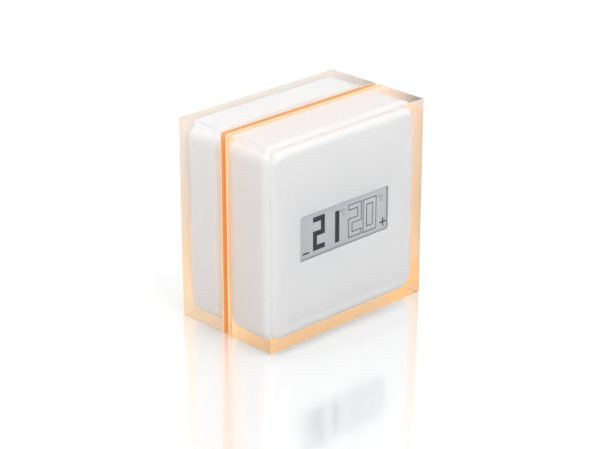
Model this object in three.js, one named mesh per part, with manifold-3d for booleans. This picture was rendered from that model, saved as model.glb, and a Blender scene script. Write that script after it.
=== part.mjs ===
// Wall thermostat: two square clear-acrylic blocks, one behind the other, each cast round a white body.
// The rear block is the relay module and clips on a wall plate. The front block is the display module,
// whose cover rocks about an upright axis on a chassis that plugs into the rear block.
//
// Pieces are drawn in face coordinates: x across, y up, z the depth measured from the wall to the front.
// The last group turns them so that the height is +Z and the front faces -Y. Millimetres throughout.
import * as THREE from 'three';
import { mergeVertices } from 'three/addons/utils/BufferGeometryUtils.js';
import Module from 'manifold-3d';

const wasm = await Module();
wasm.setup();

// ---------------------------------------------------------------- driving dimensions
const width = 83;
const height = 83;
const blockDepth = 23.6;
const blockGap = 3.2;
const fit = 0.3; // air between pieces that rest on each other

const acrylicWall = 3;
const acrylicCorner = 0.8;
const bodyWall = 1.6;
const bodyEdge = 3.4; // radius where a body's face turns into its sides
const bodyCorner = 5.5; // radius of a body's corners seen from the front
const filmThickness = 0.4;

const backFrameThickness = 1.6;
const backRing = 6; // width of a rear body's back wall round its opening
const coverWall = 1.6;
const coverFloor = 2;
const plateThickness = 2.4;
const plateCorner = 3;
const cableWindow = { height: 13, sideMargin: 7.5, lowMargin: 3.2, corner: 2 };
const terminalWindow = { width: 24, height: 11 };
const wallSlot = { length: 9, width: 4.6, headWidth: 8.6, headDepth: 1.4, inset: 10.6, y: 8 };

const boardThickness = 1.2;
const rearPartsHeight = 7.8;
const postDiameter = 8;
const postNeck = 5;
const postInset = 5.6;
const screw = { head: 3.8, headHeight: 1, shank: 1.6, hole: 2.2, slot: 0.6, bite: 0.7 };
const relay = { width: 15.5, height: 19, depth: 7.4, x: 14, y: 6 };
const transformer = { width: 16, height: 15, depth: 7.4, x: -16, y: 4, corner: 1 };
const capacitor = { diameter: 6.6, left: -9, length: 12, inset: 7.6 };
const terminal = { width: 16, height: 8.4, x: -4, pitch: 5, well: 3.8, wellDepth: 3, screw: 2, wire: 3 };
const radio = { width: 18, height: 12, depth: 2.2 };
const dockSeal = 1.2; // thickness of the dock socket's floor and flange

const dockSize = 20;
const dockCorner = 2;
const dockReach = 7; // how far the chassis boss enters the rear block
const dockWall = 1.4;
const dockFlange = 2.4;

const display = { width: 47.8, height: 18.3, corner: 1.6, wall: 1.1, margin: 2.2, thickness: 1.1 };
const gasket = { width: 1.5, thickness: 0.6 };
const boardMargin = 1.2;
const boardBoss = 5;

const chassisThickness = 1.5;
const rockerPlay = 0.6; // side play of the chassis inside the rocking cover
const cell = { diameter: 10.5, length: 44.5, play: 0.8, nub: 3.8, nubLength: 1 };
const contactThickness = 0.5;
const trayRib = 1.4;
const trayHeight = 8;
const pivot = { diameter: 2, hole: 2.6, lug: 2.4, ear: 2.6, width: 8, lift: 4.5, reach: 2.4 };
const rockSwitch = {
  size: 6.5, height: 3.4, floor: 0.8, stem: 3.4, bore: 4.2, stemLength: 4, inset: 7.5, post: 5,
};
const stemRoom = 1.2; // how far a switch stem can be pushed in from rest
const pairing = {
  x: 17, diameter: 4, hole: 4.8, flange: 6.2, flangeHeight: 1, travel: 0.8, size: 6, height: 3,
};
const processor = { size: 9, height: 1, x: -8 };
const frontRadio = { width: 16, height: 12, depth: 2, x: 12 };
const sensor = { size: 3, height: 1, offset: 8 };

// ---------------------------------------------------------------- depths and outlines that follow
const bodyWidth = width - 2 * (acrylicWall + fit);
const bodyHeight = height - 2 * (acrylicWall + fit);
const innerWidth = bodyWidth - 2 * bodyWall;
const innerHeight = bodyHeight - 2 * bodyWall;
const innerCorner = bodyCorner - bodyWall;
const innerEdge = bodyEdge - bodyWall;

const rearRim = filmThickness + fit;
const rearBodyBack = rearRim + backFrameThickness + fit;
const rearFace = blockDepth;
const rearBodyFace = rearFace - acrylicWall - fit;
const rearInnerFace = rearBodyFace - bodyWall;
const coverWidth = bodyWidth - 2 * backRing;
const coverHeight = bodyHeight - 2 * backRing;
const pocketWidth = coverWidth - 2 * coverWall;
const pocketHeight = coverHeight - 2 * coverWall;
const pocketFloor = plateThickness + fit;
const coverFace = pocketFloor + coverFloor;
const relayBoardBack = coverFace + fit + rearPartsHeight;
const relayBoardFace = relayBoardBack + boardThickness;
const postX = coverWidth / 2 - postInset;
const postY = coverHeight / 2 - postInset;
const partsSeat = relayBoardBack - fit;
const dockEnd = rearFace - dockReach;
const dockSocketSize = dockSize + 2 * (fit + dockWall);
const dockOpening = dockSocketSize + 2 * fit;
const cableY = -pocketHeight / 2 + cableWindow.lowMargin + cableWindow.height / 2;
const terminalXs = [-1, 0, 1].map((step) => terminal.x + step * terminal.pitch);

const frontBack = blockDepth + blockGap;
const frontRim = frontBack + filmThickness + fit;
const frontFace = frontBack + blockDepth;
const frontBodyFace = frontFace - acrylicWall - fit;
const frontInnerFace = frontBodyFace - bodyWall;
const panelFace = frontBodyFace - display.wall - fit;
const panelBack = panelFace - display.thickness;
const panelWidth = display.width + 2 * display.margin;
const panelHeight = display.height + 2 * display.margin;
const mainBoardFace = panelBack - fit;
const mainBoardBack = mainBoardFace - boardThickness;
const partsBack = mainBoardBack - fit;
const chassisWidth = innerWidth - 2 * rockerPlay;
const chassisHeight = innerHeight - 2 * rockerPlay;
const chassisFace = frontRim + chassisThickness;
const pivotDepth = frontRim + pivot.lift;
const switchX = innerWidth / 2 - rockSwitch.inset;
const boardPostX = innerWidth / 2 - boardMargin - boardBoss;
const boardPostY = innerHeight / 2 - boardMargin - boardBoss;

// The tray of cells starts above the lower pivot and is one cell pitch high for each of the three cells.
const cellPitch = cell.diameter + cell.play;
const trayFloor = -innerHeight / 2 + pivot.lug + fit + pivot.ear;
const cellHeights = [0, 1, 2].map((row) => trayFloor + fit + cellPitch * (row + 0.5) - cell.play / 2);
const trayTop = cellHeights[2] + cell.diameter / 2 + fit;
const trayInner = cell.length / 2 + fit + contactThickness + fit;
const switchHeight = trayTop + trayRib + rockSwitch.size;
const stemTip = partsBack - rockSwitch.height - rockSwitch.stemLength + stemRoom;
const lap = 0.2; // how far joined shapes run into each other

// ---------------------------------------------------------------- shapes
const cornerSteps = 5;
const edgeSteps = 4;

/** Points of a rectangle with round corners, centred on (x, y), counter-clockwise. */
function outline(w, h, radius = 0, x = 0, y = 0) {
  const points = [];
  const steps = radius > 0 ? cornerSteps : 0;
  const quarters = [[1, 1], [-1, 1], [-1, -1], [1, -1]];
  quarters.forEach(([sx, sy], quarter) => {
    for (let step = 0; step <= steps; step += 1) {
      const angle = (quarter + (steps ? step / steps : 0)) * (Math.PI / 2);
      const cx = x + sx * (w / 2 - radius);
      const cy = y + sy * (h / 2 - radius);
      points.push(new THREE.Vector2(cx + radius * Math.cos(angle), cy + radius * Math.sin(angle)));
    }
  });
  return points;
}

/** Turns a closed geometry into a solid that can be joined and cut. */
function solid(geometry) {
  const bare = geometry.clone();
  bare.deleteAttribute('normal');
  bare.deleteAttribute('uv');
  const merged = mergeVertices(bare, 1e-5);
  const mesh = new wasm.Mesh({
    numProp: 3,
    vertProperties: Float32Array.from(merged.attributes.position.array),
    triVerts: Uint32Array.from(merged.index.array),
  });
  return new wasm.Manifold(mesh);
}

/** A flat plate with round corners between two depths. */
function plate(w, h, radius, back, front, x = 0, y = 0) {
  const shape = new THREE.Shape(outline(w, h, radius, x, y));
  const geometry = new THREE.ExtrudeGeometry(shape, { depth: front - back, bevelEnabled: false });
  return solid(geometry.translate(0, 0, back));
}

/** A block with round corners whose back and front edges are rounded too. */
function pillow(w, h, corner, edge, back, front) {
  const shape = new THREE.Shape(outline(w - 2 * edge, h - 2 * edge, Math.max(corner - edge, 0.2)));
  const geometry = new THREE.ExtrudeGeometry(shape, {
    depth: front - back - 2 * edge,
    bevelThickness: edge,
    bevelSize: edge,
    bevelSegments: edgeSteps,
  });
  return solid(geometry.translate(0, 0, back + edge));
}

/** A pillow whose back is cut off flat, so that only its front edges are rounded. */
function cap(w, h, corner, edge, back, front) {
  const whole = pillow(w, h, corner, edge, back - 2 * edge, front);
  return whole.intersect(plate(2 * w, 2 * h, 0, back, front + 1));
}

/** A round rod along the depth. */
function rod(diameter, back, front, x = 0, y = 0, sides = 20) {
  const geometry = new THREE.CylinderGeometry(diameter / 2, diameter / 2, front - back, sides);
  return solid(geometry.rotateX(Math.PI / 2).translate(x, y, (front + back) / 2));
}

/** A round rod standing upright at one depth. */
function upright(diameter, low, high, x, depth, sides = 16) {
  const geometry = new THREE.CylinderGeometry(diameter / 2, diameter / 2, high - low, sides);
  return solid(geometry.translate(x, (low + high) / 2, depth));
}

/** A round rod lying across the width at one height and depth. */
function crossways(diameter, left, right, y, depth, sides = 20) {
  const geometry = new THREE.CylinderGeometry(diameter / 2, diameter / 2, right - left, sides);
  return solid(geometry.rotateZ(Math.PI / 2).translate((left + right) / 2, y, depth));
}

const join = (first, ...others) => others.reduce((sum, other) => sum.add(other), first);
const cut = (first, ...others) => others.reduce((rest, other) => rest.subtract(other), first);
const corners = (x, y) => [[-x, -y], [x, -y], [x, y], [-x, y]];

// ---------------------------------------------------------------- materials
const finish = (color, roughness, metalness = 0) => ({ color, roughness, metalness });
const finishes = {
  acrylic: { ...finish(0xf2f6f6, 0.03), transparent: true, opacity: 0.3 },
  white: finish(0xeeeeef, 0.35),
  grey: finish(0xc9cccf, 0.5),
  orange: finish(0xf5893a, 0.45),
  display: finish(0xb4bac0, 0.4),
  foam: finish(0x2b2c2e, 0.9),
  board: finish(0x2f6b46, 0.5),
  chip: finish(0x1f2123, 0.5),
  relay: finish(0x2c5fa8, 0.45),
  winding: finish(0xd9b64a, 0.5),
  terminal: finish(0x3a9a5c, 0.45),
  steel: finish(0xb9bcc0, 0.35, 1),
  cell: finish(0x3b4650, 0.35, 0.3),
};

/** Adds one named piece to a group. */
function add(group, name, shape, look) {
  const made = shape.getMesh();
  const geometry = new THREE.BufferGeometry();
  geometry.setAttribute('position', new THREE.BufferAttribute(made.vertProperties, 3));
  geometry.setIndex(new THREE.BufferAttribute(made.triVerts, 1));
  geometry.computeVertexNormals();
  const mesh = new THREE.Mesh(geometry, new THREE.MeshStandardMaterial(look));
  mesh.name = name;
  group.add(mesh);
}

/** A slotted pan screw: its head ends at the depth `seat` and its tip lies `length` further forward. */
function panScrew(x, y, seat, length) {
  const back = seat - screw.headHeight;
  const head = rod(screw.head, back, seat, x, y, 16);
  const slot = plate(2 * screw.head, screw.slot, 0, back - 1, back + screw.headHeight / 2, x, y);
  return join(cut(head, slot), rod(screw.shank, seat - lap, seat + length, x, y, 12));
}

// ---------------------------------------------------------------- wall plate
function wallPlate() {
  const past = plateThickness + 1;
  const { length, width: slot, headWidth, headDepth, y } = wallSlot;
  const slotX = pocketWidth / 2 - wallSlot.inset;
  const slots = [-slotX, slotX].flatMap((x) => [
    plate(length, slot, slot / 2, -1, past, x, y),
    plate(length + headWidth - slot, headWidth, headWidth / 2, plateThickness - headDepth, past, x, y),
  ]);
  const windowWidth = pocketWidth - 2 * cableWindow.sideMargin;
  const window = plate(windowWidth, cableWindow.height, cableWindow.corner, -1, past, 0, cableY);
  const sheet = plate(pocketWidth - 2 * fit, pocketHeight - 2 * fit, plateCorner - fit, 0, plateThickness);
  return cut(sheet, window, ...slots);
}

function addWall(group) {
  add(group, 'wall_plate', wallPlate(), finishes.grey);
}

// ---------------------------------------------------------------- rear (relay) module
/** A clear block, open at the back, whose inside follows the body with an even gap. */
function acrylicShell(back, face) {
  const outer = plate(width, height, acrylicCorner, back, face);
  const w = bodyWidth + 2 * fit;
  const h = bodyHeight + 2 * fit;
  const inner = cap(w, h, bodyCorner + fit, bodyEdge + fit, back - 1, face - acrylicWall);
  return cut(outer, inner);
}

function rearShell() {
  return cut(acrylicShell(rearRim, rearFace), plate(dockOpening, dockOpening, dockCorner, 0, rearFace + 1));
}

/** The clear frame that closes the rear shell behind the body. */
function rearClearFrame() {
  const back = rearRim;
  const front = rearRim + backFrameThickness;
  const ring = plate(bodyWidth, bodyHeight, bodyCorner, back, front);
  return cut(ring, plate(coverWidth + 2 * fit, coverHeight + 2 * fit, plateCorner, back - 1, front + 1));
}

function rearBody() {
  const step = relayBoardFace + fit;
  const hull = cut(
    pillow(bodyWidth, bodyHeight, bodyCorner, bodyEdge, rearBodyBack, rearBodyFace),
    pillow(innerWidth, innerHeight, innerCorner, innerEdge, rearBodyBack + bodyWall, rearInnerFace),
    plate(dockOpening, dockOpening, dockCorner, rearInnerFace - 1, rearFace),
    plate(coverWidth + 2 * fit, coverHeight + 2 * fit, plateCorner, 0, rearBodyBack + bodyWall + 1),
  );
  const posts = corners(postX, postY).flatMap(([x, y]) => [
    rod(postDiameter, step, rearInnerFace + lap, x, y),
    rod(postNeck, coverFace + fit, step + lap, x, y),
  ]);
  const holes = corners(postX, postY).map(([x, y]) => rod(screw.hole, 0, relayBoardBack, x, y, 12));
  return cut(join(hull, ...posts), ...holes);
}

/** A square ring of coloured film whose outer corners are rounded by `corner`. */
function filmRing(w, h, corner, openingWidth, openingHeight, back) {
  const front = back + filmThickness;
  const opening = plate(openingWidth, openingHeight, plateCorner, back - 1, front + 1);
  return cut(plate(w, h, corner, back, front), opening);
}

function rearCover() {
  const heads = corners(postX, postY).flatMap(([x, y]) => [
    rod(screw.head + 2 * fit, pocketFloor - 1, coverFace - screw.bite, x, y, 16),
    rod(screw.hole, pocketFloor - 1, coverFace + 1, x, y, 12),
  ]);
  return cut(
    plate(coverWidth, coverHeight, plateCorner, rearRim, coverFace),
    plate(pocketWidth, pocketHeight, plateCorner, 0, pocketFloor),
    plate(terminalWindow.width, terminalWindow.height, 1, 0, coverFace + 1, terminal.x, cableY),
    rod(pairing.hole, 0, coverFace + 1, pairing.x, cableY),
    ...heads,
  );
}

function relayBoard() {
  const holes = corners(postX, postY).map(([x, y]) => {
    return rod(postNeck + 2 * fit, relayBoardBack - 1, relayBoardFace + 1, x, y);
  });
  const w = coverWidth - 4 * fit;
  const h = coverHeight - 4 * fit;
  const sheet = plate(w, h, plateCorner, relayBoardBack, relayBoardFace);
  return cut(sheet, ...holes);
}

/** A box on the back of the relay board. */
function onRelayBoard(part, x, y) {
  return plate(part.width, part.height, part.corner ?? 0.4, partsSeat - part.depth, partsSeat, x, y);
}

const terminalBack = partsSeat - (rearPartsHeight - fit);
const wellFloor = terminalBack + terminal.wellDepth;
const wellY = cableY + 1;

function terminalBlock() {
  const housing = { ...terminal, depth: partsSeat - terminalBack };
  const wells = terminalXs.map((x) => rod(terminal.well, 0, wellFloor, x, wellY, 16));
  const mouths = terminalXs.map((x) => {
    return upright(terminal.wire, cableY - terminal.height, cableY - 2.5, x, partsSeat - terminal.wire);
  });
  return cut(onRelayBoard(housing, terminal.x, cableY), ...wells, ...mouths);
}

function terminalScrew(x) {
  const seat = wellFloor - fit;
  const head = rod(terminal.well - 2 * fit, seat - terminal.screw, seat, x, wellY, 16);
  return cut(head, plate(terminal.well, screw.slot, 0, 0, seat - terminal.screw / 2, x, wellY));
}

/** The cup in the rear module's face that takes the chassis boss. */
function dockSocket() {
  const floor = dockEnd - fit;
  const flangeFace = rearInnerFace - fit;
  const flangeSize = dockSocketSize + 2 * dockFlange;
  const flange = plate(flangeSize, flangeSize, dockCorner, flangeFace - dockSeal, flangeFace);
  const tube = plate(dockSocketSize, dockSocketSize, dockCorner, floor - dockSeal, rearFace);
  const bore = plate(dockSize + 2 * fit, dockSize + 2 * fit, dockCorner, floor, rearFace + 1);
  return cut(join(tube, flange), bore);
}

function pairingSwitch() {
  const box = { width: pairing.size, height: pairing.size, depth: pairing.height };
  return onRelayBoard(box, pairing.x, cableY);
}

function pairingButton() {
  const front = partsSeat - pairing.height - pairing.travel - fit;
  const flangeBack = coverFace + fit;
  const stem = rod(pairing.diameter, pocketFloor + fit, front, pairing.x, cableY);
  return join(stem, rod(pairing.flange, flangeBack, flangeBack + pairing.flangeHeight, pairing.x, cableY));
}

function rearRadio() {
  const y = dockSocketSize / 2 + dockFlange + radio.height / 2;
  const back = relayBoardFace + fit;
  return plate(radio.width, radio.height, 0.6, back, back + radio.depth, 0, y);
}

function addRear(group) {
  const { left, diameter, length, inset } = capacitor;
  const can = crossways(diameter, left, left + length, coverHeight / 2 - inset, partsSeat - diameter / 2);
  const backFilm = filmRing(width, height, acrylicCorner, pocketWidth, pocketHeight, 0);
  const gapFilm = filmRing(width, height, acrylicCorner, dockOpening, dockOpening, rearFace + fit);
  add(group, 'rear_shell', rearShell(), finishes.acrylic);
  add(group, 'rear_clear_frame', rearClearFrame(), finishes.acrylic);
  add(group, 'rear_body', rearBody(), finishes.white);
  add(group, 'rear_film', backFilm, finishes.orange);
  add(group, 'gap_film', gapFilm, finishes.orange);
  add(group, 'rear_cover', rearCover(), finishes.white);
  corners(postX, postY).forEach(([x, y], index) => {
    const seat = coverFace - screw.bite - fit;
    add(group, `cover_screw_${index + 1}`, panScrew(x, y, seat, partsSeat - 1 - seat), finishes.steel);
  });
  add(group, 'relay_board', relayBoard(), finishes.board);
  add(group, 'relay', onRelayBoard(relay, relay.x, relay.y), finishes.relay);
  add(group, 'transformer', onRelayBoard(transformer, transformer.x, transformer.y), finishes.winding);
  add(group, 'capacitor', can, finishes.chip);
  add(group, 'terminal_block', terminalBlock(), finishes.terminal);
  terminalXs.forEach((x, index) => {
    add(group, `terminal_screw_${index + 1}`, terminalScrew(x), finishes.steel);
  });
  add(group, 'rear_radio', rearRadio(), finishes.steel);
  add(group, 'dock_socket', dockSocket(), finishes.grey);
  add(group, 'pairing_switch', pairingSwitch(), finishes.chip);
}

function addPairing(group) {
  add(group, 'pairing_button', pairingButton(), finishes.grey);
}

// ---------------------------------------------------------------- chassis of the front module
function chassisFrame() {
  const hollow = dockSize - 2 * dockWall;
  const base = plate(chassisWidth, chassisHeight, innerCorner - rockerPlay, frontRim, chassisFace);
  const boss = plate(dockSize, dockSize, dockCorner, dockEnd, chassisFace);
  const cup = plate(hollow, hollow, dockCorner / 2, dockEnd + dockWall, chassisFace + 1);
  const foot = chassisFace - lap;
  const rim = chassisFace + trayHeight;
  const trayWidth = 2 * (trayInner + trayRib);
  const trayY = (trayTop + trayFloor) / 2;
  const sideX = trayInner + trayRib / 2;
  const sides = [-sideX, sideX].map((x) => {
    return plate(trayRib, trayTop - trayFloor + 2 * lap, 0, foot, rim, x, trayY);
  });
  const lower = plate(trayWidth, pivot.ear, 0, foot, rim, 0, trayFloor - pivot.ear / 2);
  const upper = plate(trayWidth, trayRib, 0, foot, rim, 0, trayTop + trayRib / 2);
  const earY = innerHeight / 2 - pivot.lug - fit - pivot.ear / 2;
  const ear = plate(pivot.width, pivot.ear, 0, foot, pivotDepth + pivot.reach, 0, earY);
  const posts = [-switchX, switchX].map((x) => rod(rockSwitch.post, foot, stemTip - fit, x, switchHeight));
  const pins = [-1, 1].map((side) => pivotBore(side, pivot.lug + fit - 1, pivot.lug + fit + pivot.ear + 1));
  return cut(join(base, boss, lower, upper, ear, ...sides, ...posts), cup, ...pins);
}

/** A pin hole on the rocking axis, between two distances in from the cover's inner wall on one side. */
function pivotBore(side, outer, inner) {
  const ends = [side * (innerHeight / 2 - outer), side * (innerHeight / 2 - inner)];
  return upright(pivot.hole, Math.min(...ends), Math.max(...ends), 0, pivotDepth);
}

/** A pin through one of the cover's lugs and into the chassis. */
function pivotPin(side) {
  const ends = [side * (innerHeight / 2), side * (innerHeight / 2 - pivot.lug - fit - pivot.ear)];
  return upright(pivot.diameter, Math.min(...ends), Math.max(...ends), 0, pivotDepth);
}

/** A dry cell lying across the tray. The cells face alternate ways. */
function batteryCell(row) {
  const facing = row % 2 ? -1 : 1;
  const half = cell.length / 2;
  const shoulder = half - cell.nubLength;
  const depth = chassisFace + fit + cell.diameter / 2;
  const stretch = (diameter, from, to, sides) => {
    const ends = [facing * from, facing * to];
    return crossways(diameter, Math.min(...ends), Math.max(...ends), cellHeights[row], depth, sides);
  };
  return join(stretch(cell.diameter, -half, shoulder, 24), stretch(cell.nub, shoulder - lap, half, 12));
}

function batteryContact(side) {
  const x = side * (cell.length / 2 + fit + contactThickness / 2);
  const tall = trayTop - trayFloor - 2 * fit;
  const front = chassisFace + trayHeight - fit;
  return plate(contactThickness, tall, 0, chassisFace + fit, front, x, (trayTop + trayFloor) / 2);
}

function addChassis(group) {
  const opening = dockSize + 2 * fit;
  const w = chassisWidth - 2 * fit;
  const h = chassisHeight - 2 * fit;
  const film = filmRing(w, h, innerCorner - rockerPlay - fit, opening, opening, frontBack);
  add(group, 'chassis_frame', chassisFrame(), finishes.grey);
  add(group, 'chassis_film', film, finishes.orange);
  cellHeights.forEach((_, row) => add(group, `battery_${row + 1}`, batteryCell(row), finishes.cell));
  add(group, 'battery_contacts_left', batteryContact(-1), finishes.steel);
  add(group, 'battery_contacts_right', batteryContact(1), finishes.steel);
  add(group, 'pivot_pin_top', pivotPin(1), finishes.steel);
  add(group, 'pivot_pin_bottom', pivotPin(-1), finishes.steel);
}

// ---------------------------------------------------------------- rocking cover of the front module
function frontBody() {
  const hull = cut(
    cap(bodyWidth, bodyHeight, bodyCorner, bodyEdge, frontRim, frontBodyFace),
    cap(innerWidth, innerHeight, innerCorner, innerEdge, frontRim - 1, frontInnerFace),
    plate(display.width, display.height, display.corner, frontInnerFace - 1, frontFace),
    plate(panelWidth + 4 * fit, panelHeight + 4 * fit, 1, frontInnerFace - 1, frontBodyFace - display.wall),
  );
  const bosses = corners(boardPostX, boardPostY).map(([x, y]) => {
    return rod(boardBoss, mainBoardFace + fit, frontInnerFace + lap, x, y);
  });
  const lugY = innerHeight / 2 - (pivot.lug - lap) / 2;
  const lugs = [-lugY, lugY].map((y) => {
    return plate(pivot.width, pivot.lug + lap, 0, pivotDepth - pivot.reach, pivotDepth + pivot.reach, 0, y);
  });
  const holes = corners(boardPostX, boardPostY).map(([x, y]) => {
    return rod(screw.hole, mainBoardFace - 1, frontBodyFace - screw.bite, x, y, 12);
  });
  const pins = [-1, 1].map((side) => pivotBore(side, -fit, pivot.lug + 1));
  return cut(join(hull, ...bosses, ...lugs), ...holes, ...pins);
}

function mainBoard() {
  const holes = corners(boardPostX, boardPostY).map(([x, y]) => {
    return rod(screw.hole, mainBoardBack - 1, mainBoardFace + 1, x, y, 12);
  });
  const w = innerWidth - 2 * boardMargin;
  const h = innerHeight - 2 * boardMargin;
  return cut(plate(w, h, innerCorner, mainBoardBack, mainBoardFace), ...holes);
}

function displayGasket() {
  const w = panelWidth + 2 * fit;
  const h = panelHeight + 2 * fit;
  const front = panelBack + gasket.thickness;
  const ring = plate(w + 2 * gasket.width, h + 2 * gasket.width, 1, panelBack, front);
  return cut(ring, plate(w, h, 0, panelBack - 1, front + 1));
}

/** A box on the back of the main board. */
function onMainBoard(w, h, tall, x, y) {
  return plate(w, h, 0.4, partsBack - tall, partsBack, x, y);
}

function rockSwitchBody(x) {
  const box = onMainBoard(rockSwitch.size, rockSwitch.size, rockSwitch.height, x, switchHeight);
  return cut(box, rod(rockSwitch.bore, chassisFace, partsBack - rockSwitch.floor, x, switchHeight));
}

function rockSwitchStem(x) {
  return rod(rockSwitch.stem, stemTip, stemTip + rockSwitch.stemLength, x, switchHeight);
}

function addCover(group) {
  const upperY = switchHeight + rockSwitch.size;
  const sensorY = -boardPostY + sensor.offset;
  const film = filmRing(width, height, acrylicCorner, innerWidth, innerHeight, frontBack);
  const chip = onMainBoard(processor.size, processor.size, processor.height, processor.x, upperY);
  const aerial = onMainBoard(frontRadio.width, frontRadio.height, frontRadio.depth, frontRadio.x, upperY);
  const probe = onMainBoard(sensor.size, sensor.size, sensor.height, switchX, sensorY);
  add(group, 'front_shell', acrylicShell(frontRim, frontFace), finishes.acrylic);
  add(group, 'front_body', frontBody(), finishes.white);
  add(group, 'front_film', film, finishes.orange);
  add(group, 'display_panel', plate(panelWidth, panelHeight, 0.4, panelBack, panelFace), finishes.display);
  add(group, 'display_gasket', displayGasket(), finishes.foam);
  add(group, 'main_board', mainBoard(), finishes.board);
  corners(boardPostX, boardPostY).forEach(([x, y], index) => {
    const length = frontBodyFace - screw.bite - fit - partsBack;
    add(group, `board_screw_${index + 1}`, panScrew(x, y, partsBack, length), finishes.steel);
  });
  add(group, 'processor', chip, finishes.chip);
  add(group, 'front_radio', aerial, finishes.steel);
  add(group, 'temperature_sensor', probe, finishes.chip);
  add(group, 'left_switch', rockSwitchBody(-switchX), finishes.chip);
  add(group, 'right_switch', rockSwitchBody(switchX), finishes.chip);
}

function addStems(left, right) {
  add(left, 'left_switch_stem', rockSwitchStem(-switchX), finishes.grey);
  add(right, 'right_switch_stem', rockSwitchStem(switchX), finishes.grey);
}

// ---------------------------------------------------------------- assembly
// Each group is one rigid body, nested as the real pieces carry each other.
const wall = new THREE.Group();
const rear = new THREE.Group();
const pairingGroup = new THREE.Group();
const chassis = new THREE.Group();
const cover = new THREE.Group();
const leftStem = new THREE.Group();
const rightStem = new THREE.Group();
addWall(wall);
addRear(rear);
addPairing(pairingGroup);
addChassis(chassis);
addCover(cover);
addStems(leftStem, rightStem);

cover.add(leftStem, rightStem);
chassis.add(cover);
rear.add(pairingGroup, chassis);
wall.add(rear);

const thermostat = new THREE.Group();
thermostat.add(wall);
thermostat.rotation.x = Math.PI / 2;

export default thermostat;
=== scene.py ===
"""Looks of a wall thermostat made of two clear acrylic blocks, each cast round a white body.

The rear block is the relay module and hangs on a wall plate. The front block is the display module, and its
cover rocks on a chassis. Sizes are in millimetres in face coordinates, x across, y up and the depth out from
the wall, until a mesh is made: there they become metres, with the height along +Z and the front facing -Y.
"""

import logging
import math
from dataclasses import dataclass, replace
from enum import Enum
from typing import Iterable, Sequence

import bmesh
import bpy
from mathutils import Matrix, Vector


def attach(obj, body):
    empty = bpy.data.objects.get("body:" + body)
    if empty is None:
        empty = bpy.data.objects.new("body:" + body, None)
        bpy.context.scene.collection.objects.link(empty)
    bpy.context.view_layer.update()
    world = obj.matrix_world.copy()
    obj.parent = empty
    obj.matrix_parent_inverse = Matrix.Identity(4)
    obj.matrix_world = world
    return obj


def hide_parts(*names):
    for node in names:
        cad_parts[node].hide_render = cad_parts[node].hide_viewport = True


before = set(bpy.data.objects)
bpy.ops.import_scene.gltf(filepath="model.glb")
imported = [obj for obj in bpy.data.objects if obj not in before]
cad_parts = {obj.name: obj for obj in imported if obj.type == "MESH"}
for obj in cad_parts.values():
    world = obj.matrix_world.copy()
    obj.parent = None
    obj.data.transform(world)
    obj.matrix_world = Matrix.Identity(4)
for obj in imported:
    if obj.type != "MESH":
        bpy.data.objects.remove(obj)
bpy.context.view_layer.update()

LOG = logging.getLogger("thermostat")
MM = 0.001
CREASE = math.radians(35)
Colour = tuple[float, float, float]
Place = tuple[float, float, float]
Point = tuple[float, float]
Socket = bpy.types.NodeSocket
Material = bpy.types.Material
Mesh = bpy.types.Mesh
Work = bmesh.types.BMesh

CLEAR: Colour = (1.0, 1.0, 1.0)
DARK: Colour = (0.0, 0.0, 0.0)


# ---------------------------------------- named options
class Body(Enum):
    """The rigid bodies that pieces ride on."""

    WALL = "wall_plate"
    RELAY = "relay_module"
    BUTTON = "pairing_button"
    CHASSIS = "chassis"
    COVER = "rocking_cover"
    LEFT_STEM = "left_stem"
    RIGHT_STEM = "right_stem"


class Slot(Enum):
    """The record's material slots."""

    ACRYLIC = "clear_acrylic"
    WHITE = "white_body"
    GREY = "grey_moulding"
    DISPLAY = "display"
    BOARD = "circuit_board"
    CHIP = "black_component"
    RELAY = "relay_case"
    WINDING = "winding"
    TERMINAL = "terminal"
    STEEL = "steel"
    CELL = "cell_sleeve"


class Ends(Enum):
    """How the two ends of a row of rings are finished."""

    CAPPED = "capped"
    JOINED = "joined"


class Axis(Enum):
    """The way that a round piece points, as the turn from the depth axis."""

    DEPTH = (math.pi / 2, 0.0, 0.0)
    ACROSS = (0.0, math.pi / 2, 0.0)
    UPRIGHT = (0.0, 0.0, 0.0)


# ---------------------------------------- finishes
def linear(red: int, green: int, blue: int) -> Colour:
    """Turns a display colour of 0 to 255 into a linear one.

    Args:
        red: red from 0 to 255.
        green: green from 0 to 255.
        blue: blue from 0 to 255.

    Returns:
        The linear colour.
    """
    values = []
    for part in (red, green, blue):
        share = part / 255
        values.append(share / 12.92 if share <= 0.04045 else ((share + 0.055) / 1.055) ** 2.4)
    return values[0], values[1], values[2]


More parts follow.
